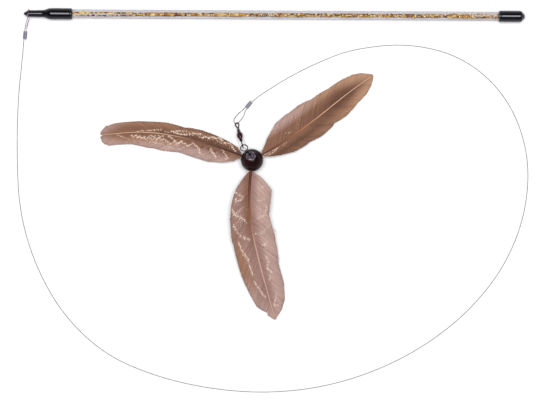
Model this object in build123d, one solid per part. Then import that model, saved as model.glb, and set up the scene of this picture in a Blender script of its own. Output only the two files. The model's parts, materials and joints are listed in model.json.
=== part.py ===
"""Cat teaser wand: a clear glitter-filled tube with two vinyl caps, a wire leader and a feathered bead.

Millimetres, +Z up. The wand lies along X on the surface Z = 0, and the leader and the lure lie
on the same surface beside it. The origin is on that surface, under the middle of the box round
the wand and the lure.
"""
import math
import os

from build123d import *

# Wand: a tube with a stepped cap on the tip and a plain cap on the handle end
wand_length = 444.5
tube_diameter = 8.0
tube_bore = 4.4
cap_wall = 1.05
layout_depth = 274.0

tip_cone_length = 3.5
tip_cone_end_diameter = 1.6
nose_length = 14.5
nose_wall = 0.8
nose_draft = 0.25
shoulder_length = 4.5
tip_socket_depth = 20.0
nose_end_wall = 3.0
shoulder_round = 2.2
cone_round = 0.7
lip_round = 0.5

handle_cap_length = 22.6
handle_cone_length = 3.3
handle_cone_end_diameter = 3.0
handle_end_wall = 5.0
handle_round = 0.9

tip_plug_grip = 22.0
handle_plug_length = 18.5

# Glitter inside the tube
glitter_depth = 1.3
glitter_gap = 0.12
flake_across = 0.9
flake_thickness = 0.08
flake_pitch = 1.6
flake_count = 54

# Leader wire, its two crimped sleeves and its loops
wire_diameter = 0.5
wire_hole_diameter = 1.2
wire_hole_inset = 4.7
wire_clearance = 0.03
wire_floor_gap = 0.05
sleeve_length = 6.6
sleeve_pitch = 1.4
sleeve_wall = 0.5
crimp_depth = 0.22
crimp_width = 1.3
crimp_spacing = 2.6
tag_length = 1.3
tip_sleeve_lead = 4.4
lure_sleeve_lead = 2.5
lure_sleeve_run = 7.0

tip_sleeve_x = -221.9
tip_sleeve_drop = 18.6
tip_sleeve_heading = 265.6
front_strand_gap = 0.75
side_strand_gap = 0.65
strand_lead = 2.1
lure_sleeve_right = 10.4
lure_sleeve_behind = 17.0
lure_sleeve_heading = 51.0

# Barrel swivel, with two twisted wire eyes
barrel_length = 6.6
barrel_diameter = 5.2
barrel_end_diameter = 3.2
barrel_cavity_diameter = 3.0
barrel_end_wall = 0.9
eye_wire = 1.0
eye_running_gap = 0.06
eye_reach = 13.0
eye_half_width = 1.65
eye_neck_length = 3.2
eye_head_diameter = 2.0
eye_head_length = 0.7
eye_wrap_wire = 0.85
eye_wrap_pitch = 1.0
eye_wrap_turns = 2.0

# Bead, its wire ring, its glue and where the ring meets the swivel
bead_diameter = 20.0
bead_x = -19.0
bead_hole_diameter = 7.6
bead_hole_tilt = 24.0
bead_hole_heading = 107.0
glue_crown = 0.7
ring_wire = 0.9
ring_radius = 3.1
ring_strand_gap = 0.1
ring_sides = 7
ring_neck_turn = 22.0
ring_slack = -0.2
ring_side_slack = 0.85
shank_depth = 4.6
shank_rise = 1.1
link_height = 13.6
link_left = 7.9
link_behind = 10.6
swivel_heading = 105.2
line_link_height = 2.3
line_link_gap = 0.2

# Feathers
quill_diameter = 2.4
quill_fit = 0.04
rachis_tip_diameter = 0.7
vane_thickness = 0.4
quill_stand_off = 0.6
quill_inset = 2.6
lower_feather_reach = 139.9

# One cut that runs past a face runs past it by this much
overrun = 1.0
corner_share = 0.45

# Derived sizes and places of the wand
tube_radius = tube_diameter / 2
bore_radius = tube_bore / 2
cap_radius = tube_radius + cap_wall
wand_y = layout_depth / 2 - cap_radius
wand_z = cap_radius
tip_x = -wand_length / 2
nose_x = tip_x + tip_cone_length
shoulder_x = nose_x + nose_length
tip_socket_x = shoulder_x + shoulder_length
tip_mouth_x = tip_socket_x + tip_socket_depth
nose_radius = bore_radius + nose_wall
handle_x = wand_length / 2
handle_mouth_x = handle_x - handle_cap_length
handle_cone_x = handle_x - handle_cone_length
tube_end_x = handle_x - handle_end_wall
tip_plug_x = tip_x + nose_end_wall
handle_plug_x = tube_end_x - handle_plug_length
tip_plug_end_x = tip_socket_x + tip_plug_grip
wire_hole_x = tip_x + wire_hole_inset
wire_radius = wire_diameter / 2
wand_axis = Pos(0, wand_y, wand_z)

# Derived places of the bead, the link and the swivel
bead_radius = bead_diameter / 2
bead_centre = Vector(bead_x, lower_feather_reach - layout_depth / 2, bead_radius)
link_point = Vector(bead_centre.X - link_left, bead_centre.Y + link_behind, link_height)
swivel_tilt = math.asin((link_height - line_link_height) / (2 * eye_reach))
swivel_plan = Vector(math.cos(math.radians(swivel_heading)), math.sin(math.radians(swivel_heading)), 0)
to_line = swivel_plan * math.cos(swivel_tilt) - Vector(0, 0, math.sin(swivel_tilt))
to_lure = to_line * -1
swivel_side = Vector(0, 0, 1).cross(to_line).normalized()
swivel_up = to_line.cross(swivel_side)
barrel_centre = link_point + to_line * eye_reach
line_eye_end = link_point + to_line * (2 * eye_reach)
line_link = line_eye_end + to_lure * (eye_wire / 2 + wire_radius + line_link_gap)

# Derived sizes of the sleeves
sleeve_barrel_radius = wire_radius + sleeve_wall
sleeve_z = sleeve_barrel_radius + wire_floor_gap
tip_sleeve_centre = Vector(tip_sleeve_x, wand_y - tip_sleeve_drop, sleeve_z)
lure_sleeve_centre = Vector(line_link.X + lure_sleeve_right, line_link.Y + lure_sleeve_behind, sleeve_z)

# The leader's free route, from the tip sleeve round the loop to the lure sleeve
leader_route = [
    (-224.3, 92.0, 0.5),
    (-227.8, 55.0, 0.3),
    (-228.1, 4.9, 0.3),
    (-225.1, -45.0, 0.3),
    (-210.4, -93.0, 0.3),
    (-184.7, -136.2, 0.3),
    (-148.0, -170.5, 0.3),
    (-101.7, -190.0, 0.3),
    (-52.7, -200.6, 0.3),
    (-2.7, -203.6, 0.3),
    (47.0, -197.4, 0.3),
    (94.6, -182.0, 0.3),
    (138.7, -158.1, 0.3),
    (177.2, -126.0, 0.3),
    (207.1, -85.7, 0.3),
    (224.2, -38.3, 0.3),
    (225.6, 12.2, 0.3),
    (207.2, 59.4, 0.3),
    (169.9, 93.8, 0.3),
    (121.1, 107.3, 0.3),
    (70.9, 102.3, 0.3),
    (41.5, 91.5, 0.3),
    (14.6, 78.2, 0.3),
    (-6.2, 65.0, 0.4),
]

# The lure loop's strands, as steps from the point where the wire passes through the line eye
loop_right_route = [(6.7, 8.6, -1.85), (4.7, 5.0, -1.75), (2.4, 2.2, -1.6)]
loop_left_route = [(-2.5, 1.2, 1.1), (-2.6, 4.6, 0.2), (2.0, 10.2, -1.2)]
loop_pass_height = 1.25

# Feathers: heading and slope at the bead, then the rachis and the two vanes as shares of the reach
left_feather_reach = 130.8
right_feather_reach = 129.3
left_feather = {
    "heading": 158.0,
    "slope": -8.0,
    "reach": left_feather_reach,
    "rachis_shares": [
        (-0.29, 0.104, 0.037),
        (-0.555, 0.168, 0.023),
        (-0.79, 0.187, 0.018),
        (-1.025, 0.167, 0.015),
    ],
    "vane_shares": [
        (0.0, 0.014, 0.012),
        (0.05, 0.057, 0.044),
        (0.12, 0.089, 0.061),
        (0.22, 0.113, 0.074),
        (0.32, 0.112, 0.080),
        (0.44, 0.105, 0.073),
        (0.56, 0.113, 0.080),
        (0.68, 0.103, 0.074),
        (0.80, 0.080, 0.073),
        (0.90, 0.075, 0.071),
        (0.965, 0.076, 0.046),
        (1.0, 0.050, 0.014),
    ],
}
right_feather = {
    "heading": 29.0,
    "slope": -6.0,
    "reach": right_feather_reach,
    "rachis_shares": [
        (0.301, 0.187, 0.050),
        (0.479, 0.322, 0.034),
        (0.657, 0.466, 0.022),
        (0.814, 0.582, 0.016),
    ],
    "vane_shares": [
        (0.0, 0.014, 0.012),
        (0.05, 0.046, 0.040),
        (0.12, 0.091, 0.066),
        (0.22, 0.136, 0.098),
        (0.32, 0.147, 0.106),
        (0.44, 0.146, 0.119),
        (0.56, 0.128, 0.112),
        (0.68, 0.113, 0.116),
        (0.80, 0.102, 0.099),
        (0.90, 0.084, 0.080),
        (0.96, 0.053, 0.050),
        (1.0, 0.016, 0.020),
    ],
}
lower_feather = {
    "heading": 264.5,
    "slope": 15.0,
    "reach": lower_feather_reach,
    "rachis_shares": [
        (-0.015, -0.286, 0.106),
        (0.017, -0.508, 0.076),
        (0.074, -0.736, 0.040),
        (0.149, -1.0, 0.010),
    ],
    "vane_shares": [
        (0.0, 0.014, 0.012),
        (0.05, 0.084, 0.044),
        (0.12, 0.141, 0.081),
        (0.20, 0.135, 0.109),
        (0.31, 0.119, 0.128),
        (0.44, 0.133, 0.140),
        (0.56, 0.129, 0.135),
        (0.68, 0.118, 0.132),
        (0.80, 0.115, 0.113),
        (0.90, 0.094, 0.091),
        (0.96, 0.059, 0.048),
        (1.0, 0.012, 0.014),
    ],
}
droop_share = 0.08
glitter_shares = [0.55, 0.8, 1.0, 0.9, 0.75, 0.95, 1.0, 0.85, 1.0, 0.7, 0.9, 0.6]
flake_sweep_shares = (-0.01, 0.51)
golden_share = 0.381966


def axis_plane(origin, along, across):
    """Plane at origin whose Z runs along the axis and whose X lies across it."""
    return Plane(origin=origin, x_dir=across, z_dir=along)


def corner_radii(points):
    """Largest arc at each inner point: a share of its shorter run over the tangent of half the turn."""
    radii = []
    for before, here, after in zip(points, points[1:], points[2:]):
        arriving = Vector(here) - Vector(before)
        leaving = Vector(after) - Vector(here)
        half_turn = math.radians(arriving.get_angle(leaving)) / 2
        shorter = min(arriving.length, leaving.length)
        radii.append(corner_share * shorter / math.tan(half_turn))
    return radii


def wire_along(name, points, diameter):
    """Round wire along straight runs joined by tangent arcs; prints its arcs and how full the tube is."""
    radii = corner_radii(points)
    path = FilletPolyline(*points, radius=radii)
    section = Plane(origin=path @ 0, z_dir=path % 0) * Circle(diameter / 2)
    tube = sweep(section, path=path)
    full = tube.volume / (math.pi * diameter**2 / 4 * path.length)
    shown = ", ".join(f"{radius:.1f}" for radius in radii)
    print(f"{name}: length {path.length:.1f} mm, volume ratio {full:.4f}, arcs {shown}")
    return tube


def revolved(points, rounds):
    """Solid of revolution about X from an outline; rounds gives a radius by outline corner."""
    outline = make_face(Polyline(*points, close=True))
    for corner, radius in rounds.items():
        at = Vector(points[corner][0], points[corner][1], 0)
        vertex = outline.vertices().sort_by_distance(at)[0]
        outline = fillet(vertex, radius)
    return revolve(outline, axis=Axis.X)


def rod(start_x, end_x, radius):
    """Round bar along X between two stations."""
    return Plane(origin=(start_x, 0, 0), z_dir=(1, 0, 0)) * extrude(Circle(radius), end_x - start_x)


def wire_hole():
    """Cross hole in the cap's nose for the leader's loop."""
    depth = cap_radius + overrun
    plane = Plane(origin=(wire_hole_x, -depth, 0), z_dir=(0, 1, 0))
    return plane * extrude(Circle(wire_hole_diameter / 2), 2 * depth)


def wand_tube():
    """Clear tube between the seats of the two caps."""
    wall = rod(tip_socket_x, tube_end_x, tube_radius)
    bore = rod(tip_socket_x - overrun, tube_end_x + overrun, bore_radius)
    return wand_axis * (wall - bore)


def tip_cap():
    """Stepped vinyl cap: sleeve on the tube, sloping shoulder, slim nose and blunt cone."""
    outline = [
        (tip_x, 0),
        (tip_x, tip_cone_end_diameter / 2),
        (nose_x, nose_radius),
        (shoulder_x, nose_radius + nose_draft),
        (tip_socket_x, cap_radius),
        (tip_mouth_x, cap_radius),
        (tip_mouth_x, tube_radius),
        (tip_socket_x, tube_radius),
        (tip_socket_x, bore_radius),
        (tip_plug_x, bore_radius),
        (tip_plug_x, 0),
    ]
    rounds = {1: cone_round, 2: cone_round, 3: shoulder_round, 4: shoulder_round, 5: lip_round}
    return wand_axis * (revolved(outline, rounds) - wire_hole())


def tip_plug():
    """Dowel in the tube's end that fills the cap's nose and carries the wire."""
    return wand_axis * (rod(tip_plug_x, tip_plug_end_x, bore_radius) - wire_hole())


def handle_cap():
    """Plain vinyl cap with a blunt cone on the handle end."""
    outline = [
        (handle_mouth_x, tube_radius),
        (handle_mouth_x, cap_radius),
        (handle_cone_x, cap_radius),
        (handle_x, handle_cone_end_diameter / 2),
        (handle_x, 0),
        (tube_end_x, 0),
        (tube_end_x, tube_radius),
    ]
    return wand_axis * revolved(outline, {1: lip_round, 2: handle_round, 3: handle_round})


def handle_plug():
    """Clear plug that closes the bore under the handle cap."""
    return wand_axis * rod(handle_plug_x, tube_end_x, bore_radius)


def glitter_bed():
    """Loose glitter settled along the bottom of the bore, deeper and shallower by turns."""
    radius = bore_radius - glitter_gap
    start = tip_plug_end_x + glitter_gap
    length = handle_plug_x - glitter_gap - start
    step = length / (len(glitter_shares) - 1)
    sections = []
    for place, share in enumerate(glitter_shares):
        level = glitter_depth * share - radius
        half_width = math.sqrt(radius**2 - level**2)
        plane = Plane(origin=(start + place * step, 0, 0), x_dir=(0, 1, 0), z_dir=(1, 0, 0))
        arc = ThreePointArc((-half_width, level), (0, -radius), (half_width, level))
        chord = Line((half_width, level), (-half_width, level))
        sections.append(plane * make_face(arc + chord))
    return wand_axis * loft(sections, ruled=True)


def glitter_flakes():
    """Six-sided flakes that cling to the bore near the handle end."""
    corner = flake_across / math.sqrt(3)
    seat = math.sqrt((bore_radius - glitter_gap) ** 2 - corner**2) - flake_thickness
    low, high = flake_sweep_shares
    flakes = []
    for number in range(flake_count):
        turn = low + (high - low) * (number * golden_share % 1)
        around = 2 * math.pi * turn
        outward = Vector(0, math.cos(around), math.sin(around))
        x = handle_plug_x - flake_pitch * (number + 1)
        plane = Plane(origin=Vector(x, 0, 0) + outward * seat, x_dir=(1, 0, 0), z_dir=outward)
        flake = plane * extrude(RegularPolygon(corner, side_count=6), flake_thickness)
        flakes.append(wand_axis * flake)
    return Compound(children=flakes)


def heading_vector(degrees):
    """Unit vector in plan at a heading."""
    return Vector(math.cos(math.radians(degrees)), math.sin(math.radians(degrees)), 0)


def sleeve_strand(centre, heading, side, along):
    """Point on one of a sleeve's two strands, so far along its axis from the middle."""
    ahead = heading_vector(heading)
    left = Vector(-ahead.Y, ahead.X, 0)
    return centre + left * (side * sleeve_pitch / 2) + ahead * along


def crimp_sleeve(centre, heading):
    """Double-barrel sleeve on two strands, pressed in twice on each face."""
    ahead = heading_vector(heading)
    start = centre - ahead * (sleeve_length / 2)
    plane = Plane(origin=start, x_dir=(-ahead.Y, ahead.X, 0), z_dir=ahead)
    body = extrude(SlotCenterToCenter(sleeve_pitch, 2 * sleeve_barrel_radius), sleeve_length)
    half_pitch = sleeve_pitch / 2
    bore = extrude(Circle(wire_radius + wire_clearance), sleeve_length + 2 * overrun)
    for side in (-half_pitch, half_pitch):
        body -= Pos(side, 0, -overrun) * bore
    dent_radius = (crimp_width**2 / 4 + crimp_depth**2) / (2 * crimp_depth)
    dent_half = sleeve_pitch / 2 + sleeve_barrel_radius + overrun
    dent = Rot(0, 90, 0) * Cylinder(dent_radius, 2 * dent_half)
    for place in (-crimp_spacing / 2, crimp_spacing / 2):
        for face in (-1, 1):
            level = face * (sleeve_barrel_radius + dent_radius - crimp_depth)
            body -= Pos(0, level, sleeve_length / 2 + place) * dent
    return plane * body


def tip_loop_points():
    """Wire from its tag, up through the sleeve and the nose, over the front and back into the sleeve."""
    half = sleeve_length / 2
    hole = Vector(wire_hole_x, wand_y, wand_z)
    side = nose_radius + side_strand_gap + wire_radius
    front = nose_radius + front_strand_gap + wire_radius
    heading = tip_sleeve_heading
    return [
        sleeve_strand(tip_sleeve_centre, heading, 1, half + tag_length),
        sleeve_strand(tip_sleeve_centre, heading, 1, -half - tip_sleeve_lead),
        hole + Vector(0, -nose_radius - strand_lead, 0),
        hole + Vector(0, side, 0),
        hole + Vector(-wire_diameter / 2, side, front),
        hole + Vector(-wire_diameter * 2, -side - wire_diameter, front),
        sleeve_strand(tip_sleeve_centre, heading, -1, -half - tip_sleeve_lead),
        sleeve_strand(tip_sleeve_centre, heading, -1, 0),
    ]


def leader_points():
    """Leader from the middle of the tip sleeve, along its free route, to the middle of the lure sleeve."""
    first = sleeve_strand(tip_sleeve_centre, tip_sleeve_heading, -1, 0)
    entry = sleeve_strand(lure_sleeve_centre, lure_sleeve_heading, -1, lure_sleeve_run)
    last = sleeve_strand(lure_sleeve_centre, lure_sleeve_heading, -1, 0)
    return [first] + [Vector(*point) for point in leader_route] + [entry, last]


def lure_loop_points():
    """Wire from the lure sleeve, up through the line eye and back to its tag."""
    half = sleeve_length / 2
    heading = lure_sleeve_heading
    rise = Vector(0, 0, loop_pass_height)
    right = [line_link + Vector(*step) for step in loop_right_route]
    left = [line_link + Vector(*step) for step in loop_left_route]
    return [
        sleeve_strand(lure_sleeve_centre, heading, -1, 0),
        sleeve_strand(lure_sleeve_centre, heading, -1, -half - lure_sleeve_lead),
        *right,
        line_link - rise,
        line_link + rise,
        *left,
        sleeve_strand(lure_sleeve_centre, heading, 1, -half - lure_sleeve_lead),
        sleeve_strand(lure_sleeve_centre, heading, 1, half + tag_length),
    ]


def swivel_barrel():
    """Bulged barrel with a hollow for the heads of both eyes."""
    half = barrel_length / 2
    hollow_half = half - barrel_end_wall
    end_radius = barrel_end_diameter / 2
    side = ThreePointArc((-half, end_radius), (0, barrel_diameter / 2), (half, end_radius))
    outline = side + Polyline((half, end_radius), (half, 0), (-half, 0), (-half, end_radius))
    body = revolve(make_face(outline), axis=Axis.X)
    body -= rod(-half - overrun, half + overrun, eye_wire / 2 + eye_running_gap)
    body -= rod(-hollow_half, hollow_half, barrel_cavity_diameter / 2)
    return axis_plane(barrel_centre, swivel_side, to_line) * body


def wire_wrap(start, length):
    """Tail of the eye's wire, wound round its neck."""
    radius = (eye_wire + eye_wrap_wire) / 2
    coil = Helix(pitch=eye_wrap_pitch, height=length, radius=radius)
    section = Plane(origin=coil @ 0, z_dir=coil % 0) * Circle(eye_wrap_wire / 2)
    turns = sweep(section, path=coil, is_frenet=True)
    return Plane(origin=(start, 0, 0), z_dir=(1, 0, 0)) * turns


def swivel_eye(plane):
    """Teardrop wire eye: head in the barrel, straight neck with the tail wound on, and the loop."""
    half = barrel_length / 2
    inner_x = half - barrel_end_wall - eye_running_gap
    neck_x = half + eye_neck_length
    loop_x = eye_reach - eye_half_width
    wire = eye_wire / 2
    head = rod(inner_x - eye_head_length, inner_x, eye_head_diameter / 2)
    neck = rod(inner_x - eye_head_length, neck_x + wire, wire)
    touch = math.acos(eye_half_width / (loop_x - neck_x))
    touch_x = loop_x - eye_half_width * math.cos(touch)
    touch_y = eye_half_width * math.sin(touch)
    run = Line((neck_x, 0), (touch_x, touch_y))
    half_loop = run + TangentArc((touch_x, touch_y), (eye_reach, 0), tangent=run % 1)
    side = sweep(Plane(origin=run @ 0, z_dir=run % 0) * Circle(wire), path=half_loop)
    loop = side + mirror(side, about=Plane.XZ)
    wrap_length = eye_wrap_pitch * eye_wrap_turns
    wrap_x = half + eye_neck_length - wrap_length - eye_wrap_wire / 2
    eye = head + neck + loop + wire_wrap(wrap_x, wrap_length)
    return plane * eye


def swivel_line_eye():
    """Eye that the leader's loop hangs in, lying flat."""
    return swivel_eye(Plane(origin=barrel_centre, x_dir=to_line, z_dir=swivel_up))


def swivel_lure_eye():
    """Eye that the bead's ring hangs in, standing on edge."""
    return swivel_eye(Plane(origin=barrel_centre, x_dir=to_lure, z_dir=swivel_side))


def bead_axis():
    """Direction of the bead's hole, leaning towards the swivel."""
    lean = math.radians(bead_hole_tilt)
    return heading_vector(bead_hole_heading) * math.sin(lean) + Vector(0, 0, math.cos(lean))


def bead_mouth_height():
    """Distance from the bead's centre to the plane of its hole's rim."""
    return math.sqrt(bead_radius**2 - (bead_hole_diameter / 2) ** 2)


def ring_wire_points():
    """Hairpin wire: out of the glue, over the bead's rim, round the ring and back beside itself."""
    across = ring_wire / 2 + ring_strand_gap / 2
    turn = math.radians(ring_neck_turn)
    centre = link_point + to_line * ring_slack - swivel_side * ring_side_slack
    ahead = to_lure * math.cos(turn) - swivel_side * math.sin(turn)
    left = swivel_up.cross(ahead)
    axis = bead_axis()
    mouth = bead_centre + axis * bead_mouth_height()
    neck = centre + ahead * (ring_radius + ring_wire / 2)
    reach = neck - mouth
    level = (reach - axis * reach.dot(axis)).normalized()
    rim = mouth + level * (bead_hole_diameter / 2) + axis * shank_rise
    foot = mouth - axis * shank_depth + level * ring_wire
    top = mouth + level * ring_wire + axis * shank_rise
    beside = axis.cross(level)
    shank = [foot, top, rim]
    corner = ring_radius / math.cos(math.pi / ring_sides)
    ring = []
    for step in range(1, ring_sides):
        around = 2 * math.pi * step / ring_sides
        ring.append(centre + ahead * (corner * math.cos(around)) + left * (corner * math.sin(around)))
    out = [point - beside * across for point in shank]
    back = [point + beside * across for point in reversed(shank)]
    return out + [neck + left * across] + ring + [neck - left * across] + back


def quill_direction(feather):
    """Direction of a feather's quill where it leaves the bead."""
    slope = math.radians(feather["slope"])
    return heading_vector(feather["heading"]) * math.cos(slope) + Vector(0, 0, math.sin(slope))


def quill(feather, radius):
    """Round quill from the bead's middle to just outside its surface."""
    along = quill_direction(feather)
    length = bead_radius + quill_stand_off - quill_inset
    return Plane(origin=bead_centre + along * quill_inset, z_dir=along) * extrude(Circle(radius), length)


def vane_section(plane, left, right, rachis):
    """Cross-section of a feather: a thin vane to each side of a thick rachis, edges drooping."""
    vane = vane_thickness / 2
    ridge = max(rachis, vane)
    left_low = -left * droop_share
    right_low = -right * droop_share
    outline = [
        (left, left_low + vane),
        (ridge, vane),
        (ridge / 2, ridge),
        (-ridge / 2, ridge),
        (-ridge, vane),
        (-right, right_low + vane),
        (-right, right_low - vane),
        (-ridge, -vane),
        (-ridge / 2, -ridge),
        (ridge / 2, -ridge),
        (ridge, -vane),
        (left, left_low - vane),
    ]
    return plane * make_face(Polyline(*outline, close=True))


def feather_solid(feather):
    """Feather along its bent rachis, from the quill in the bead to the tip of the vane."""
    reach = feather["reach"]
    along = quill_direction(feather)
    base = bead_centre + along * (bead_radius + quill_stand_off)
    floor_centre = Vector(bead_centre.X, bead_centre.Y, 0)
    points = [base] + [floor_centre + Vector(*share) * reach for share in feather["rachis_shares"]]
    line = Spline(*points, tangents=[along, points[-1] - points[-2]])
    sections = []
    for place, left, right in feather["vane_shares"]:
        ahead = line % place
        side = Vector(0, 0, 1).cross(ahead)
        rachis = (quill_diameter + (rachis_tip_diameter - quill_diameter) * place) / 2
        plane = axis_plane(line @ place, ahead, side)
        sections.append(vane_section(plane, left * reach, right * reach, rachis))
    return loft(sections, ruled=True) + quill(feather, quill_diameter / 2)


def bead():
    """Lacquered bead with a wide hole and a small hole for each quill."""
    ball = Pos(bead_centre) * Sphere(bead_radius)
    axis = bead_axis()
    depth = bead_radius + overrun
    plane = Plane(origin=bead_centre - axis * depth, z_dir=axis)
    ball -= plane * extrude(Circle(bead_hole_diameter / 2), 2 * depth)
    for feather in feathers.values():
        ball -= quill(feather, quill_diameter / 2 + quill_fit)
    return ball


def bead_glue(ring, quills):
    """Clear glue that fills the bead's hole round the ring's shank and the quills, with a domed top."""
    axis = bead_axis()
    half = bead_mouth_height()
    radius = bead_hole_diameter / 2
    plane = Plane(origin=bead_centre - axis * half, z_dir=axis)
    fill = extrude(Circle(radius), 2 * half)
    dome_radius = (radius**2 + glue_crown**2) / (2 * glue_crown)
    dome = Pos(0, 0, 2 * half + glue_crown - dome_radius) * Sphere(dome_radius)
    above = Pos(0, 0, 2 * half) * extrude(Circle(radius), glue_crown)
    fill = plane * (fill + (dome & above))
    for piece in [ring, *quills]:
        fill -= piece
    return fill


feathers = {"feather_left": left_feather, "feather_right": right_feather, "feather_lower": lower_feather}


def main():
    """Build every piece and write one file for each."""
    ring = wire_along("bead_eye", ring_wire_points(), ring_wire)
    quills = [quill(feather, quill_diameter / 2 + quill_fit) for feather in feathers.values()]
    pieces = {
        "wand_tube": wand_tube(),
        "tip_cap": tip_cap(),
        "tip_plug": tip_plug(),
        "handle_cap": handle_cap(),
        "handle_plug": handle_plug(),
        "glitter_bed": glitter_bed(),
        "glitter_flakes": glitter_flakes(),
        "tip_loop": wire_along("tip_loop", tip_loop_points(), wire_diameter),
        "tip_ferrule": crimp_sleeve(tip_sleeve_centre, tip_sleeve_heading),
        "leader_wire": wire_along("leader_wire", leader_points(), wire_diameter),
        "lure_ferrule": crimp_sleeve(lure_sleeve_centre, lure_sleeve_heading),
        "lure_loop": wire_along("lure_loop", lure_loop_points(), wire_diameter),
        "swivel_line_eye": swivel_line_eye(),
        "swivel_barrel": swivel_barrel(),
        "swivel_lure_eye": swivel_lure_eye(),
        "bead_eye": ring,
        "bead": bead(),
        "bead_glue": bead_glue(ring, quills),
    }
    for name, feather in feathers.items():
        pieces[name] = feather_solid(feather)
    os.makedirs("parts", exist_ok=True)
    for name, piece in pieces.items():
        export_step(piece, f"parts/{name}.step")
    print("wire hole", (wire_hole_x, wand_y, wand_z), "line link", line_link, "link", link_point)
    print("barrel", barrel_centre, "to_line", to_line, "swivel_up", swivel_up)


main()
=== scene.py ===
"""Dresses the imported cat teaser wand: a clear glitter tube with vinyl caps, a wire leader, a barrel
swivel and a feathered bead, laid out on a white table and seen from straight above.

Metres, +Z up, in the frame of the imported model.
"""

import json
import logging
import math
from dataclasses import dataclass, field
from enum import Enum

import bmesh
import bpy
import numpy as np
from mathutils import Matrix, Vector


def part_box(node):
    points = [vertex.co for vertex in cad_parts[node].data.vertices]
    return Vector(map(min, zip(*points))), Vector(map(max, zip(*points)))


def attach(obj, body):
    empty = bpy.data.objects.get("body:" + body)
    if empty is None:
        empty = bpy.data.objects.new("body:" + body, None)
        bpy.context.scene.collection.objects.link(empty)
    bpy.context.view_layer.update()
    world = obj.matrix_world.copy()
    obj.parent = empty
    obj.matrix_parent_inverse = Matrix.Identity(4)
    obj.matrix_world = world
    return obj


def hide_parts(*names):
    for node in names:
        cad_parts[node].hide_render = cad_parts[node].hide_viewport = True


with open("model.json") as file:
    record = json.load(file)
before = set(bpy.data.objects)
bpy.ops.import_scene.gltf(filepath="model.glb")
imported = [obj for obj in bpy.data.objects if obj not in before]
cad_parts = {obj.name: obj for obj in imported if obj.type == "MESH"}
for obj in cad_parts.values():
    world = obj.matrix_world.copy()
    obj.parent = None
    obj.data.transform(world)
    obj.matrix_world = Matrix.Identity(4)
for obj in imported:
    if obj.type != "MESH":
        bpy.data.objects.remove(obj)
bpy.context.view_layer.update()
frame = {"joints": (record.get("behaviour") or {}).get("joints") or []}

MM = 0.001
FULL_TURN = 2 * math.pi
UP = np.array([0.0, 0.0, 1.0])
WELD = 0.0005 * MM
SPLINE_STEPS = 40
LAY = "lay"
SHADE = "shade"
PALE = "pale"
PATCH = "patch"
log = logging.getLogger("teaser_wand")

Array = np.ndarray
Colour = tuple[float, float, float, float]
Pair = tuple[float, float]
Triple = tuple[float, float, float]
Route = tuple[Triple, ...]
Material = bpy.types.Material
Piece = bpy.types.Object
Socket = bpy.types.NodeSocket


class Body(Enum):
    """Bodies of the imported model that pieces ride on."""

    WAND = "wand"
    LEADER = "leader"
    LINE_EYE = "line_eye"
    BARREL = "barrel"
    LURE_EYE = "lure_eye"
    LURE = "lure"


class Side(Enum):
    """Side of a feather, seen from its quill towards its tip."""

    LEFT = 1.0
    RIGHT = -1.0


def tone(red: int, green: int, blue: int) -> Colour:
    """Linear colour of a display tone.

    Up to 0.04045 a share is divided by 12.92. Above that it is raised to 2.4, as displays have it.

    Args:
        red: Red in steps of 255.
        green: Green in steps of 255.
        blue: Blue in steps of 255.

    Returns:
        Linear red, green and blue, and full cover.
    """
    shares = np.array([red, green, blue]) / 255
    linear = np.where(shares <= 0.04045, shares / 12.92, ((shares + 0.055) / 1.055) ** 2.4)
    return (*linear.tolist(), 1.0)


def node_box(node: str) -> tuple[Array, Array]:
    """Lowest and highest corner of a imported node."""
    low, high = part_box(node)
    return np.array(low), np.array(high)


def joint_fact(name: str, fact: str) -> Array:
    """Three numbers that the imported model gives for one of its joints."""
    return np.array(next(joint[fact] for joint in frame["joints"] if joint["name"] == name), float)


def joint_place(name: str) -> Array:
    """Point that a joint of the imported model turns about."""
    return joint_fact(name, "pos_m")


def joint_axis(name: str) -> Array:
    """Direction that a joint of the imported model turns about."""
    return unit(joint_fact(name, "axis"))


def unit(vectors: Array) -> Array:
    """Vectors divided by their own lengths along the last axis."""
    return vectors / np.linalg.norm(vectors, axis=-1, keepdims=True)


def circle(steps: int) -> Array:
    """Even turns round a full circle, in radians."""
    return np.linspace(0, FULL_TURN, steps, endpoint=False)


def heading_line(angle: float) -> Array:
    """Level direction at an angle from +X."""
    return np.array([math.cos(angle), math.sin(angle), 0.0])


def read_at(where: Array, marks: Array, table: Array) -> Array:
    """Rows of a table read between their marks, column by column."""
    return np.stack([np.interp(where, marks, column) for column in table.T], axis=-1)


def placed(name: str, data: bpy.types.ID) -> Piece:
    """New object at the origin, linked to the scene.

    Args:
        name: Name of the object.
        data: Mesh, curve, light or camera that it holds.

    Returns:
        The object.
    """
    piece = bpy.data.objects.new(name, data)
    bpy.context.scene.collection.objects.link(piece)
    return piece


def smooth_step(low: float, high: float, values: Array) -> Array:
    """Rise from 0 at low to 1 at high: 3 t squared less 2 t cubed, with t held between 0 and 1."""
    share = np.clip((values - low) / (high - low), 0, 1)
    return share * share * (3 - 2 * share)


def rounded(corners: list[Triple], steps: int = 7) -> Array:
    """Open outline whose corners are parabolas.

    Between the two points that lie a corner's round before and after it on its runs, the outline is the
    parabola that has the corner as its control point.

    Args:
        corners: Place along, distance across and round of each corner.
        steps: Points on each parabola.

    Returns:
        Points of the outline, two numbers each.
    """
    spots = np.array([corner[:2] for corner in corners])
    share = np.linspace(0, 1, steps)[:, None]
    parts = [spots[:1]]
    for before, here, after, corner in zip(spots, spots[1:], spots[2:], corners[1:]):
        start = here + unit(before - here) * corner[2]
        end = here + unit(after - here) * corner[2]
        parts.append((1 - share) ** 2 * start + 2 * share * (1 - share) * here + share**2 * end)
    parts.append(spots[-1:])
    return np.concatenate(parts)


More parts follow.
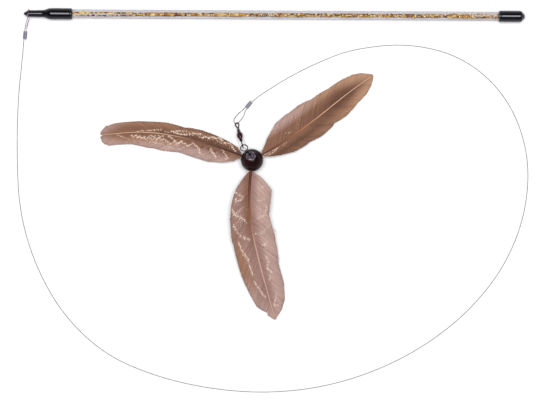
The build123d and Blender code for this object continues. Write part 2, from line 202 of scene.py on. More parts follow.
def spaced(line: Array, step: float) -> Array:
    """Line with points added on its runs so that none is longer than a step.

    Args:
        line: Points of the line.
        step: Greatest length of a run.

    Returns:
        Points of the finer line.
    """
    runs = np.linalg.norm(np.diff(line, axis=0), axis=1)
    marks = np.concatenate([[0], np.cumsum(runs)])
    counts = np.maximum(1, np.ceil(runs / step)).astype(int)
    places = [np.linspace(a, b, n, endpoint=False) for a, b, n in zip(marks, marks[1:], counts)]
    return read_at(np.concatenate([*places, marks[-1:]]), marks, line)


def bent_line(points: Array, start: Array, end: Array, samples: int) -> Array:
    """Cubic curve through points with a given direction at each end.

    The slopes at the inner points make the second derivative continuous: they solve the three-term
    equations of a cubic spline on the lengths of the chords. The curve is then read at even lengths.

    Args:
        points: Points to pass through.
        start: Direction at the first point.
        end: Direction at the last point.
        samples: Points on the returned curve.

    Returns:
        Evenly spaced points on the curve.
    """
    chords = np.linalg.norm(np.diff(points, axis=0), axis=1)
    knots = np.concatenate([[0], np.cumsum(chords)])
    count = len(points)
    system = np.eye(count)
    wanted = np.zeros((count, 3))
    wanted[0], wanted[-1] = unit(start), unit(end)
    for place in range(1, count - 1):
        before, after = 1 / chords[place - 1], 1 / chords[place]
        system[place, place - 1:place + 2] = before, 2 * (before + after), after
        coming, going = points[place] - points[place - 1], points[place + 1] - points[place]
        wanted[place] = 3 * (coming * before**2 + going * after**2)
    slopes = np.linalg.solve(system, wanted)
    fine = np.linspace(0, knots[-1], SPLINE_STEPS * count)
    span = np.clip(np.searchsorted(knots, fine, side="right") - 1, 0, count - 2)
    width = chords[span][:, None]
    share = (fine - knots[span])[:, None] / width
    curve = (
        (1 + 2 * share) * (1 - share) ** 2 * points[span]
        + share * (1 - share) ** 2 * width * slopes[span]
        + share**2 * (3 - 2 * share) * points[span + 1]
        - share**2 * (1 - share) * width * slopes[span + 1]
    )
    return even(curve, samples)


def even(line: Array, samples: int) -> Array:
    """Line read at even lengths."""
    marks = np.concatenate([[0], np.cumsum(np.linalg.norm(np.diff(line, axis=0), axis=1))])
    return read_at(np.linspace(0, marks[-1], samples), marks, line)


def turned(profile: Array, origin: Array, axis: Array, across: Array, steps: int) -> Array:
    """Grid of a profile turned about an axis.

    A point is the origin, plus its place along the axis, plus its radius times the cosine of the turn
    across and the sine of the turn along the third direction.

    Args:
        profile: Place along the axis and radius of each row.
        origin: Point on the axis.
        axis: Direction of the axis.
        across: Direction at a right angle to it where the turn starts.
        steps: Columns round the axis.

    Returns:
        Grid of points, rows by columns by three.
    """
    turn = circle(steps)
    ring = np.cos(turn)[:, None] * across + np.sin(turn)[:, None] * np.cross(axis, across)
    return origin + profile[:, 0, None, None] * axis + profile[:, 1, None, None] * ring


def swept(path: Array, radius: Array | float, sides: int, up: Array) -> Array:
    """Grid of a round section carried along a path, closed to a point at both ends.

    A ring is the path's point plus the radius times the cosine of the turn along (direction x up) and the
    sine of the turn along the third direction.

    Args:
        path: Points of the centre line.
        radius: Radius, one for all or one for each point.
        sides: Columns round the path.
        up: Direction, one for all or one for each point, that no run is parallel to.

    Returns:
        Grid of points, rows by columns by three.
    """
    ahead = unit(np.gradient(path, axis=0))
    across = unit(np.cross(ahead, up))
    over = np.cross(across, ahead)
    turn = circle(sides)[None, :, None]
    ring = np.cos(turn) * across[:, None] + np.sin(turn) * over[:, None]
    size = np.broadcast_to(radius, len(path))[:, None, None]
    ends = np.repeat(path[[0, -1], None], sides, axis=1)
    return np.concatenate([ends[:1], path[:, None] + size * ring, ends[1:]])


@dataclass
class Surface:
    """Points and quads of one mesh, with pattern coordinates and named numbers where it has them."""

    points: Array
    quads: Array
    lay: Array | None = None
    marks: dict[str, Array] = field(default_factory=dict)

    @classmethod
    def grid(
        cls,
        points: Array,
        wrap_rows: bool = False,
        wrap_columns: bool = True,
        lay: Array | None = None,
        **marks: Array,
    ) -> "Surface":
        """Quads between the neighbours of one grid or of a stack of like grids.

        Args:
            points: Rows by columns by three, or the same with a count in front.
            wrap_rows: Whether the last row joins the first.
            wrap_columns: Whether the last column joins the first.
            lay: Pattern coordinates, in the same order as the points.
            marks: Numbers by name, in the same order as the points.

        Returns:
            The surface.
        """
        stack = points.reshape(-1, *points.shape[-3:])
        index = np.arange(stack.shape[0] * stack.shape[1] * stack.shape[2]).reshape(stack.shape[:3])
        if wrap_rows:
            index = np.concatenate([index, index[:, :1]], axis=1)
        if wrap_columns:
            index = np.concatenate([index, index[:, :, :1]], axis=2)
        corners = [index[:, :-1, :-1], index[:, :-1, 1:], index[:, 1:, 1:], index[:, 1:, :-1]]
        return cls(stack.reshape(-1, 3), np.stack(corners, axis=-1).reshape(-1, 4), lay, marks)

    @classmethod
    def joined(cls, *parts: "Surface") -> "Surface":
        """One surface of several that carry the same marks.

        Args:
            parts: Surfaces to join.

        Returns:
            The joined surface.
        """
        starts = np.cumsum([0] + [len(part.points) for part in parts[:-1]])
        quads = np.concatenate([part.quads + start for part, start in zip(parts, starts)])
        lay = None if parts[0].lay is None else np.concatenate([part.lay for part in parts])
        marks = {name: np.concatenate([part.marks[name] for part in parts]) for name in parts[0].marks}
        return cls(np.concatenate([part.points for part in parts]), quads, lay, marks)

    def piece(self, name: str) -> Piece:
        """Object with this mesh at the origin, its seams and poles welded and its faces outward.

        Args:
            name: Name of the object.

        Returns:
            The object, linked to the scene.
        """
        mesh = bpy.data.meshes.new(name)
        mesh.from_pydata(self.points.tolist(), [], self.quads.tolist())
        for mark, values in self.marks.items():
            mesh.attributes.new(mark, "FLOAT", "POINT").data.foreach_set("value", values.astype(np.float32))
        if self.lay is not None:
            corner = np.empty(len(mesh.loops), np.int32)
            mesh.loops.foreach_get("vertex_index", corner)
            mesh.uv_layers.new(name=LAY).data.foreach_set("uv", self.lay[corner].astype(np.float32).ravel())
        form = bmesh.new()
        form.from_mesh(mesh)
        bmesh.ops.remove_doubles(form, verts=form.verts, dist=WELD)
        bmesh.ops.recalc_face_normals(form, faces=form.faces)
        form.to_mesh(mesh)
        form.free()
        mesh.polygons.foreach_set("use_smooth", np.ones(len(mesh.polygons), bool))
        return placed(name, mesh)


class Recipe:
    """Node tree of one finish round a single principled shader."""

    def __init__(self, name: str, **values: object) -> None:
        """Start a material.

        Args:
            name: Name of the material.
            values: Plain values of the shader's sockets, with underscores for spaces.
        """
        self.material = bpy.data.materials.new(name)
        self.material.use_nodes = True
        self.nodes = self.material.node_tree.nodes
        self.links = self.material.node_tree.links
        self.shader = self.nodes["Principled BSDF"]
        for socket, value in values.items():
            self.shader.inputs[socket.replace("_", " ")].default_value = value

    def add(self, kind: str, inputs: dict[str | int, object], **settings: object) -> bpy.types.Node:
        """Node of a kind, with its inputs set or linked and its settings made.

        Args:
            kind: Blender's name of the node, without its ShaderNode prefix.
            inputs: Value or source socket by input.
            settings: Attributes of the node.

        Returns:
            The node.
        """
        node = self.nodes.new("ShaderNode" + kind)
        for setting, value in settings.items():
            setattr(node, setting, value)
        for socket, value in inputs.items():
            if isinstance(value, Socket):
                self.links.new(value, node.inputs[socket])
            else:
                node.inputs[socket].default_value = value
        return node

    def feed(self, socket: str, source: Socket) -> None:
        """Link a source to one of the shader's sockets."""
        self.links.new(source, self.shader.inputs[socket])

    def place(self) -> Socket:
        """Object coordinates."""
        return self.add("TexCoord", {}).outputs["Object"]

    def lay(self) -> tuple[Socket, Socket]:
        """The two pattern coordinates that the piece carries."""
        parts = self.add("SeparateXYZ", {0: self.add("UVMap", {}, uv_map=LAY).outputs[0]})
        return parts.outputs["X"], parts.outputs["Y"]

    def mark(self, name: str) -> Socket:
        """A named number that the piece carries."""
        return self.add("Attribute", {}, attribute_name=name).outputs["Fac"]

    def vector(self, *parts: Socket | float) -> Socket:
        """Vector of up to three numbers."""
        return self.add("CombineXYZ", dict(enumerate(parts))).outputs[0]

    def sum(self, kind: str, *parts: Socket | float) -> Socket:
        """Result of one arithmetic step."""
        return self.add("Math", dict(enumerate(parts)), operation=kind).outputs[0]

    def noise(self, where: Socket, scale: float, detail: float = 2.0) -> Socket:
        """Soft noise, about 0.5 in the middle."""
        return self.add("TexNoise", {"Vector": where, "Scale": scale, "Detail": detail}).outputs["Fac"]

    def stretched_noise(self, scale: Triple, detail: float = 2.0) -> Socket:
        """Soft noise on the object, drawn out by a scale for each direction."""
        where = self.add("Mapping", {"Vector": self.place(), "Scale": scale})
        return self.noise(where.outputs[0], 1.0, detail)

    def broken(self, name: str, noise: Socket, push: float) -> Socket:
        """A named number of the piece that noise pushes up and down."""
        swing = self.sum("MULTIPLY", self.sum("SUBTRACT", noise, 0.5), push)
        return self.sum("ADD", self.mark(name), swing)

    def ranged(self, source: Socket, to: Pair, given: Pair = (0.0, 1.0)) -> Socket:
        """Number brought evenly from a given range to another."""
        inputs = {"From Min": given[0], "From Max": given[1], "To Min": to[0], "To Max": to[1]}
        return self.add("MapRange", {"Value": source, **inputs}).outputs["Result"]

    def rise(self, source: Socket, low: float, high: float) -> Socket:
        """Smooth rise from 0 where the source is low to 1 where it is high."""
        inputs = {"Value": source, "From Min": low, "From Max": high}
        return self.add("MapRange", inputs, interpolation_type="SMOOTHSTEP").outputs["Result"]

    def ramp(self, source: Socket, *stops: tuple[float, Colour]) -> Socket:
        """Colour that passes through the stops as the source rises.

        Args:
            source: Number from 0 to 1.
            stops: Place and colour of each stop.

        Returns:
            Colour.
        """
        node = self.add("ValToRGB", {0: source})
        elements = node.color_ramp.elements
        for place, _ in stops[2:]:
            elements.new(place)
        for element, (place, colour) in zip(elements, stops):
            element.position = place
            element.color = colour
        return node.outputs[0]

    def mix(self, share: object, first: object, second: object, blend: str = "MIX") -> Socket:
        """Second colour laid over the first by a share."""
        inputs = {0: share, 6: first, 7: second}
        return self.add("Mix", inputs, data_type="RGBA", blend_type=blend).outputs[2]

    def bump(self, height: Socket, strength: float, depth: float) -> None:
        """Fine relief of the surface."""
        node = self.add("Bump", {"Height": height, "Strength": strength, "Distance": depth})
        self.feed("Normal", node.outputs[0])


@dataclass(frozen=True)
class ClearPlastic:
    """Extruded clear plastic, a little grey and denser where it is seen edge on."""

    name: str = "clear_plastic"
    tint: Colour = tone(150, 144, 162)
    cover: Pair = (0.05, 0.52)
    edge_blend: float = 0.42
    edge_range: Pair = (0.05, 0.75)
    draw_scale: Triple = (20.0, 2500.0, 2500.0)

    def material(self) -> Material:
        """Glossy see-through shell with faint draw lines along the tube.

        Returns:
            The material.
        """
        recipe = Recipe(self.name, Base_Color=self.tint, IOR=1.49, Roughness=0.12)
        facing = recipe.add("LayerWeight", {"Blend": self.edge_blend}).outputs["Facing"]
        cover = recipe.ranged(facing, self.cover, self.edge_range)
        recipe.feed("Alpha", recipe.sum("MULTIPLY", cover, recipe.mark(SHADE)))
        recipe.bump(recipe.stretched_noise(self.draw_scale), 0.15, 0.02 * MM)
        return recipe.material


@dataclass(frozen=True)
class BlackVinyl:
    """Dipped vinyl: black, glossy and a little uneven."""

    name: str = "black_vinyl"
    base: Colour = tone(9, 6, 9)
    worn: Colour = tone(15, 11, 16)
    sheen: Colour = tone(240, 240, 255)
    wave_scale: float = 260.0
    dust_scale: float = 5200.0
    rough: Pair = (0.05, 0.11)

    def material(self) -> Material:
        """Clear gloss with slow waves and dust-fine grain.

        Returns:
            The material.
        """
        recipe = Recipe(self.name, Specular_IOR_Level=0.46, Specular_Tint=self.sheen)
        where = recipe.place()
        slow = recipe.noise(where, self.wave_scale)
        fine = recipe.noise(where, self.dust_scale, 3.0)
        recipe.feed("Base Color", recipe.ramp(slow, (0.3, self.base), (0.75, self.worn)))
        recipe.feed("Roughness", recipe.ranged(fine, self.rough))
        recipe.bump(recipe.sum("ADD", slow, recipe.sum("MULTIPLY", fine, 0.05)), 0.08, 0.12 * MM)
        return recipe.material


@dataclass(frozen=True)
class GoldGlitter:
    """Cut gold foil: each flake has its own warmth and gloss, and painted glints and painted shade in its
    colour.
    """

    name: str = "gold_glitter"
    # Painted shade at the dark end of these colours, painted glints at the pale end.
    stops: tuple[tuple[float, Colour], ...] = (
        (0.0, tone(66, 38, 22)),
        (0.3, tone(134, 86, 36)),
        (0.6, tone(240, 176, 40)),
        (1.0, tone(255, 236, 172)),
    )
    grain_scale: float = 2600.0
    rough: Pair = (0.15, 0.3)

    def material(self) -> Material:
        """Foil whose colour runs from brown to pale gold by flake: painted shade at the dark end, painted
        glints at the pale end.

        Returns:
            The material.
        """
        recipe = Recipe(self.name, Metallic=0.4, Specular_IOR_Level=0.1)
        grain = recipe.noise(recipe.place(), self.grain_scale)
        recipe.feed("Base Color", recipe.ramp(recipe.mark(SHADE), *self.stops))
        recipe.feed("Roughness", recipe.ranged(grain, self.rough))
        return recipe.material


@dataclass(frozen=True)
class Metal:
    """Drawn or plated metal with a brushed, slightly stained surface."""

    name: str
    base: Colour
    stain: Colour
    rough: float
    grain: float
    metallic: float = 1.0
    fineness: float = 6.0
    rough_shares: Pair = (0.75, 1.35)

    def material(self) -> Material:
        """Metal with patchy tone, uneven roughness and fine relief.

        Returns:
            The material.
        """
        recipe = Recipe(self.name, Metallic=self.metallic)
        where = recipe.place()
        patch = recipe.noise(where, self.grain, 4.0)
        fine = recipe.noise(where, self.grain * self.fineness)
        recipe.feed("Base Color", recipe.ramp(patch, (0.3, self.stain), (0.65, self.base)))
        smooth, coarse = self.rough_shares
        recipe.feed("Roughness", recipe.ranged(fine, (self.rough * smooth, self.rough * coarse)))
        recipe.bump(recipe.sum("ADD", patch, fine), 0.25, 0.03 * MM)
        return recipe.material


@dataclass(frozen=True)
class Lacquer:
    """Black bead lacquer with a warm depth."""

    name: str = "bead_lacquer"
    dark: Colour = tone(18, 6, 8)
    warm: Colour = tone(38, 15, 17)
    depth_scale: float = 160.0
    peel_scale: float = 900.0

    def material(self) -> Material:
        """Dark brown gloss with faint orange peel.

        Returns:
            The material.
        """
        recipe = Recipe(self.name, Roughness=0.22, Specular_IOR_Level=0.12)
        where = recipe.place()
        depth = recipe.noise(where, self.depth_scale, 3.0)
        recipe.feed("Base Color", recipe.ramp(depth, (0.3, self.dark), (0.75, self.warm)))
        recipe.bump(recipe.noise(where, self.peel_scale), 0.05, 0.1 * MM)
        return recipe.material


@dataclass(frozen=True)
class ClearGlue:
    """Hard clear glue, lumpy and slightly cloudy."""

    name: str = "clear_glue"
    dark: Colour = tone(46, 34, 42)
    cloudy: Colour = tone(138, 126, 142)
    cloud_scale: float = 820.0
    cloud_range: Pair = (0.4, 0.65)
    cover: Pair = (0.3, 0.9)
    lump_scale: float = 620.0

    def material(self) -> Material:
        """See-through glue under a thin gloss, with cloudy specks that cover more.

        Returns:
            The material.
        """
        recipe = Recipe(self.name, IOR=1.48, Roughness=0.2, Coat_Weight=0.4, Coat_Roughness=0.1)
        where = recipe.place()
        cloud = recipe.noise(where, self.cloud_scale, 3.0)
        recipe.feed("Base Color", recipe.ramp(cloud, (0.4, self.dark), (0.68, self.cloudy)))
        recipe.feed("Alpha", recipe.ranged(cloud, self.cover, self.cloud_range))
        recipe.bump(recipe.noise(where, self.lump_scale), 0.4, 0.3 * MM)
        return recipe.material


@dataclass(frozen=True)
class Timber:
    """Pale dowel wood."""

    name: str = "dowel_wood"
    dark: Colour = tone(172, 132, 88)
    pale: Colour = tone(214, 180, 134)
    grain_scale: Triple = (60.0, 1400.0, 1400.0)

    def material(self) -> Material:
        """Straw-coloured wood with grain along the dowel.

        Returns:
            The material.
        """
        recipe = Recipe(self.name, Roughness=0.6)
        grain = recipe.stretched_noise(self.grain_scale, 4.0)
        recipe.feed("Base Color", recipe.ramp(grain, (0.35, self.dark), (0.65, self.pale)))
        recipe.bump(grain, 0.3, 0.05 * MM)
        return recipe.material


@dataclass(frozen=True)
class WhitePaper:
    """White paper of the table."""

    name: str = "white_paper"
    dim: Colour = tone(249, 249, 250)
    bright: Colour = tone(253, 253, 253)
    tooth_scale: float = 900.0

    def material(self) -> Material:
        """Matt white with a very fine tooth.

        Returns:
            The material.
        """
        recipe = Recipe(self.name, Roughness=0.85, Specular_IOR_Level=0.1)
        tooth = recipe.noise(recipe.place(), self.tooth_scale, 3.0)
        recipe.feed("Base Color", recipe.ramp(tooth, (0.2, self.dim), (0.8, self.bright)))
        recipe.bump(tooth, 0.05, 0.05 * MM)
        return recipe.material


class Plume(Enum):
    """Tones that the feathers share, from dark to pale."""

    CHESTNUT = tone(116, 80, 62)
    FAWN = tone(150, 108, 86)
    TAN = tone(178, 134, 107)
    SAND = tone(206, 162, 132)
    ROSE = tone(175, 138, 128)
    BLUSH = tone(205, 172, 163)
    CREAM = tone(232, 207, 189)
    WHITE = tone(240, 232, 226)


@dataclass(frozen=True)
class VaneFinish:
    """Tones of one side of a feather from the rachis to the edge, and where they change, in millimetres;
    partly its own colour, partly painted shade by the rachis and painted light at the thin edge.
    """

    base: tuple[Plume, Plume, Plume]
    tip: tuple[Plume, Plume, Plume]
    span: float
    stops: Triple = (0.05, 0.4, 0.9)
    change: Pair = (35.0, 85.0)

    def ground(self, recipe: Recipe, along: Socket, out: Socket) -> Socket:
        """Colour that runs from the rachis to the edge, and from the bead to the tip, with painted shade by
        the rachis and painted light at the edge.

        Args:
            recipe: Finish that the nodes go into.
            along: Place along the rachis.
            out: Distance from the rachis.

        Returns:
            Colour.
        """
        share = recipe.rise(out, 0.0, self.span)
        near, far = (
            recipe.ramp(share, *((place, plume.value) for place, plume in zip(self.stops, tones)))
            for tones in (self.base, self.tip)
        )
        return recipe.mix(recipe.rise(along, *self.change), near, far)


@dataclass(frozen=True)
class FeatherFinish:
    """Finish of one feather: its two vanes, the tones of its shaft and the tone that its end fades to."""

    name: str
    left: VaneFinish
    right: VaneFinish
    quill: Colour
    rachis: Colour
    rachis_tip: Colour
    fade: Plume
    fade_start: float
    fade_length: float = 32.0
    edge_weight: float = 2.0
    cloud_scale: float = 0.35
    cloud_push: float = 1.4
    barb_slant: float = 1.2
    streak_scale: Pair = (1.1, 0.06)
    streak_shade: Colour = tone(206, 202, 198)
    speck_scale: float = 0.9
    speck_push: float = 2.6
    worn_shade: Colour = tone(206, 202, 200)
    full_shade: Colour = tone(255, 255, 255)
    midline: Pair = (-0.3, 0.3)
    patch_range: Pair = (0.25, 1.0)
    streak_share: float = 0.9
    speck_range: Pair = (0.46, 0.8)
    worn_share: float = 0.8
    stray_range: Pair = (0.93, 0.98)
    shaft_range: Pair = (4.0, 90.0)
    grain_stretch: float = 0.08
    grain_push: float = 0.12

    def vane(self) -> Material:
        """Brown barbs with streaks along them, darker patches, and pale marks broken into specks.

        The end fades by the place along plus a weight times the distance from the rachis. Noise pushes the
        patches and the pale marks up and down, so that their edges break up. The streaks lie along lines of
        equal place along less the slant times the distance.

        Returns:
            The material.
        """
        recipe = Recipe(self.name + "_vane", Roughness=0.7, Specular_IOR_Level=0.2)
        along, across = recipe.lay()
        out = recipe.sum("ABSOLUTE", across)
        left = recipe.rise(across, *self.midline)
        # The tones from rachis to edge hold painted shade by the rachis and painted light at the edge,
        # besides the feather's own colour.
        ground = recipe.mix(left, self.right.ground(recipe, along, out), self.left.ground(recipe, along, out))
        outward = recipe.sum("ADD", along, recipe.sum("MULTIPLY", out, self.edge_weight))
        end = recipe.rise(outward, self.fade_start, self.fade_start + self.fade_length)
        ground = recipe.mix(end, ground, self.fade.value)
        flat = recipe.vector(along, across)
        patch = recipe.broken(PATCH, recipe.noise(flat, self.cloud_scale), self.cloud_push)
        ground = recipe.mix(recipe.rise(patch, *self.patch_range), ground, Plume.CHESTNUT.value)
        barb = recipe.sum("SUBTRACT", along, recipe.sum("MULTIPLY", out, self.barb_slant))
        scaled = (recipe.sum("MULTIPLY", part, scale) for part, scale in zip((barb, out), self.streak_scale))
        streak = recipe.noise(recipe.vector(*scaled), 1.0, 3.0)
        lines = recipe.ramp(streak, (0.25, self.streak_shade), (0.75, self.full_shade))
        colour = recipe.mix(self.streak_share, ground, lines, "MULTIPLY")
        cover = recipe.broken(PALE, recipe.noise(flat, self.speck_scale, 3.0), self.speck_push)
        colour = recipe.mix(recipe.rise(cover, *self.speck_range), colour, Plume.CREAM.value)
        shade = recipe.mark(SHADE)
        worn = recipe.ramp(shade, (0.0, self.worn_shade), (0.8, self.full_shade))
        colour = recipe.mix(self.worn_share, colour, worn, "MULTIPLY")
        stray = recipe.rise(shade, *self.stray_range)
        recipe.feed("Base Color", recipe.mix(stray, colour, Plume.WHITE.value))
        recipe.bump(streak, 0.25, 0.05 * MM)
        return recipe.material

    def shaft(self) -> Material:
        """Horny quill, dark at the bead and pale towards the tip.

        Returns:
            The material.
        """
        recipe = Recipe(self.name + "_rachis", Roughness=0.5, Specular_IOR_Level=0.2)
        along, across = recipe.lay()
        stretched = recipe.sum("MULTIPLY", along, self.grain_stretch)
        grain = recipe.noise(recipe.vector(stretched, across), 1.0, 3.0)
        push = recipe.sum("MULTIPLY", grain, self.grain_push)
        place = recipe.sum("ADD", recipe.rise(along, *self.shaft_range), push)
        stops = (0.05, self.quill), (0.5, self.rachis), (1.0, self.rachis_tip)
        recipe.feed("Base Color", recipe.ramp(place, *stops))
        recipe.bump(grain, 0.3, 0.05 * MM)
        return recipe.material


def dress(piece: Piece, body: Body, slot: str, material: Material, *nodes: str) -> None:
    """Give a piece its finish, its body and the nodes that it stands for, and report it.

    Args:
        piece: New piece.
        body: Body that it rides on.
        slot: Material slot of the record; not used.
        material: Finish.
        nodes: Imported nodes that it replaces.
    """
    piece.data.materials.append(material)
    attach(piece, body.value)
    if nodes:
        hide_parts(*nodes)
    log.info("%s rides on %s", piece.name, body.value)


def cord_curve(name: str, points: Array, diameter: float) -> Piece:
    """Wire along a smooth spline that has the route's points as its control points.

    Args:
        name: Name of the object.
        points: Route in metres.
        diameter: Diameter of the wire.

    Returns:
        The curve object, linked to the scene.
    """
    curve = bpy.data.curves.new(name, "CURVE")
    curve.dimensions = "3D"
    curve.bevel_depth = diameter / 2
    curve.bevel_resolution = 3
    curve.use_fill_caps = True
    spline = curve.splines.new("NURBS")
    spline.points.add(len(points) - 1)
    spline.points.foreach_set("co", np.column_stack([points, np.ones(len(points))]).ravel())
    spline.order_u = 3
    spline.use_endpoint_u = True
    spline.resolution_u = 16
    return placed(name, curve)


@dataclass
class Studio:
    """White table, soft light from above and the camera that looks straight down."""

    picture_width: float = 479.5 * MM
    centre: Pair = (-2.92 * MM, -32.29 * MM)
    roll: float = 0.00576
    lens: float = 100.0
    sensor: float = 36.0
    subject_height: float = 5.0 * MM
    floor_size: float = 8.0
    floor_steps: int = 9
    softbox_size: Pair = (1.2, 0.86)
    softbox_place: Triple = (0.0, 0.11, 1.75)
    softbox_power: float = 31.6
    zenith: float = 0.1
    horizon: float = 0.9
    sky_range: Pair = (0.05, 0.75)
    sky_tone: Colour = tone(250, 250, 254)
    clip_start: float = 0.05

    def build(self) -> None:
        """Floor, lamps, sky and camera."""
        self.floor()
        self.lamps()
        self.camera()
        bpy.context.scene.view_settings.view_transform = "Standard"

    def floor(self) -> None:
        """White table: a flat grid."""
        reach = np.linspace(-self.floor_size / 2, self.floor_size / 2, self.floor_steps)
        across, along = np.meshgrid(reach, reach)
        points = np.stack([across, along, np.zeros_like(across)], axis=-1)
        piece = Surface.grid(points, wrap_columns=False).piece("floor")
        piece.data.materials.append(WhitePaper().material())

    def lamps(self) -> None:
        """Broad softbox that looks straight down, and a sky that is pale at the horizon and dark overhead."""
        data = bpy.data.lights.new("softbox", "AREA")
        data.shape = "RECTANGLE"
        data.size, data.size_y = self.softbox_size
        data.energy = self.softbox_power
        placed("softbox", data).location = self.softbox_place
        world = bpy.data.worlds.new("studio_sky")
        world.use_nodes = True
        nodes, links = world.node_tree.nodes, world.node_tree.links
        height = nodes.new("ShaderNodeSeparateXYZ")
        links.new(nodes.new("ShaderNodeTexCoord").outputs["Generated"], height.inputs[0])
        fall = nodes.new("ShaderNodeMapRange")
        fall.interpolation_type = "SMOOTHSTEP"
        limits = (*self.sky_range, self.horizon, self.zenith)
        for socket, value in zip(("From Min", "From Max", "To Min", "To Max"), limits):
            fall.inputs[socket].default_value = value
        links.new(height.outputs["Z"], fall.inputs["Value"])
        links.new(fall.outputs["Result"], nodes["Background"].inputs["Strength"])
        nodes["Background"].inputs["Color"].default_value = self.sky_tone
        bpy.context.scene.world = world

    def camera(self) -> None:
        """Long lens over the table, so far up that the picture's width fits the frame."""
        data = bpy.data.cameras.new("camera")
        data.lens = self.lens
        data.sensor_width = self.sensor
        data.clip_start = self.clip_start
        camera = placed("camera", data)
        height = self.subject_height + self.picture_width * self.lens / self.sensor
        camera.location = (*self.centre, height)
        camera.rotation_euler = (0.0, 0.0, self.roll)
        bpy.context.scene.camera = camera


@dataclass
class Wand:
    """Clear tube with its glitter, its plugs and its two vinyl caps."""

    bore_radius: float = 2.2 * MM
    cone_length: float = 3.5 * MM
    cone_end_radius: float = 0.8 * MM
    nose_radius: float = 3.0 * MM
    nose_draft: float = 0.25 * MM
    nose_length: float = 14.5 * MM
    shoulder_length: float = 4.5 * MM
    handle_cone_length: float = 3.3 * MM
    handle_end_radius: float = 1.5 * MM
    tip_rounds: tuple[float, ...] = (0.45 * MM, 0.6 * MM, 1.6 * MM, 1.8 * MM)
    handle_rounds: Pair = (0.7 * MM, 0.9 * MM)
    lip_swell: float = 0.02 * MM
    lip_length: float = 1.5 * MM
    groove_depth: float = 0.1 * MM
    groove_length: float = 0.9 * MM
    hole_radius: float = 0.62 * MM
    hole_depth: float = 1.2 * MM
    hole_floor: float = 0.55
    hole_step: float = 0.3 * MM
    cap_step: float = 1.0 * MM
    steps: int = 96
    rim_round: float = 0.25 * MM
    seam: float = 0.01 * MM
    wall_step: float = 30.0 * MM
    bore_cover: float = 0.3
    plug_gap: float = 0.03 * MM
    plug_round: float = 0.4 * MM
    plug_steps: int = 48
    fill_share: float = 0.62
    fill_waves: tuple[Pair, ...] = ((0.14, 9.0 * MM), (0.08, 3.1 * MM))
    thin_start: float = 164.0 * MM
    thin_end: float = 178.0 * MM
    thin_share: float = 0.2
    lean: float = math.radians(8.0)
    thin_lean: float = math.radians(-30.0)
    core_start: float = -126.0 * MM
    core_gap: float = 0.25 * MM
    core_rows: int = 700
    core_steps: int = 24
    core_shade: float = 0.14
    flake_sides: int = 6
    flake_radius: float = 0.6 * MM
    flake_sizes: Pair = (0.65, 1.15)
    flake_thickness: float = 0.06 * MM
    # Painted glints and painted shade: the levels that cells of flakes draw from the glitter's colours, and
    # their odds.
    glint_and_shade_levels: Triple = (0.1, 0.58, 0.97)
    glint_and_shade_odds: Triple = (0.32, 0.34, 0.34)
    foil_spread: float = 0.08
    foil_cells: int = 300
    foil_rows: int = 3
    foil_pitch: float = 1.7 * MM
    bed_flakes: int = 1900
    row_flakes: int = 900
    row_share: float = 0.55
    heap_rise: float = 0.5 * MM
    heap_gap: float = 0.45 * MM
    heap_least: float = 0.4 * MM
    heap_tilt: float = 0.5
    # Painted shade: where across the bed the flakes start to darken, and by how much at the sides.
    edge_start: float = 0.7
    painted_edge_shade: float = 0.4
    cling_flakes: int = 330
    cling_length: float = 44.0 * MM
    cling_end: float = 0.5 * MM
    cling_bunch: float = 1.2
    cling_dip: float = 0.15
    cling_gap: float = 0.22 * MM
    cling_tilt: float = 0.3
    cling_least: float = 0.4
    seed: int = 11

    def __post_init__(self) -> None:
        """Read the wand's axis and ends from the frame."""
        low, high = node_box("wand_tube")
        self.axis = np.array([1.0, 0.0, 0.0])
        self.across = np.array([0.0, 1.0, 0.0])
        self.origin = np.array([0.0, (low[1] + high[1]) / 2, (low[2] + high[2]) / 2])
        self.tube_radius = (high[2] - low[2]) / 2
        self.tube_ends = low[0], high[0]
        self.mouth = node_box("tip_cap")[1][0]
        self.random = np.random.default_rng(self.seed)

    def build(self) -> None:
        """Make every piece of the wand."""
        clear = ClearPlastic().material()
        vinyl = BlackVinyl().material()
        dress(self.tube(), Body.WAND, "clear_tube", clear, "wand_tube")
        dress(self.tip_cap(), Body.WAND, "black_vinyl", vinyl, "tip_cap")
        dress(self.handle_cap(), Body.WAND, "black_vinyl", vinyl, "handle_cap")
        dress(self.dowel(), Body.WAND, "dowel", Timber().material(), "tip_plug")
        dress(self.end_plug(), Body.WAND, "clear_plug", ClearGlue("plug").material(), "handle_plug")
        glitter = GoldGlitter().material()
        dress(self.bed(), Body.WAND, "gold_glitter", glitter, "glitter_bed")
        dress(self.heap(), Body.WAND, "gold_glitter", glitter)
        dress(self.cling(), Body.WAND, "gold_glitter", glitter, "glitter_flakes")

    def tube(self) -> Piece:
        """Tube wall: an outer and an inner cylinder joined by rounded rims, as one turned loop.

        Returns:
            The piece.
        """
        start, end = self.tube_ends
        rim = self.rim_round
        middle = (self.tube_radius + self.bore_radius) / 2
        loop = rounded(
            [
                (start, middle, 0),
                (start, self.tube_radius, rim),
                (end, self.tube_radius, rim),
                (end, self.bore_radius, rim),
                (start, self.bore_radius, rim),
                (start, middle + self.seam, 0),
            ]
        )
        points = turned(spaced(loop, self.wall_step), self.origin, self.axis, self.across, self.steps)
        radius = np.hypot(points[..., 1] - self.origin[1], points[..., 2] - self.origin[2])
        shade = np.where(radius > middle, 1.0, self.bore_cover).ravel()
        return Surface.grid(points, wrap_rows=True, shade=shade).piece("clear_tube")

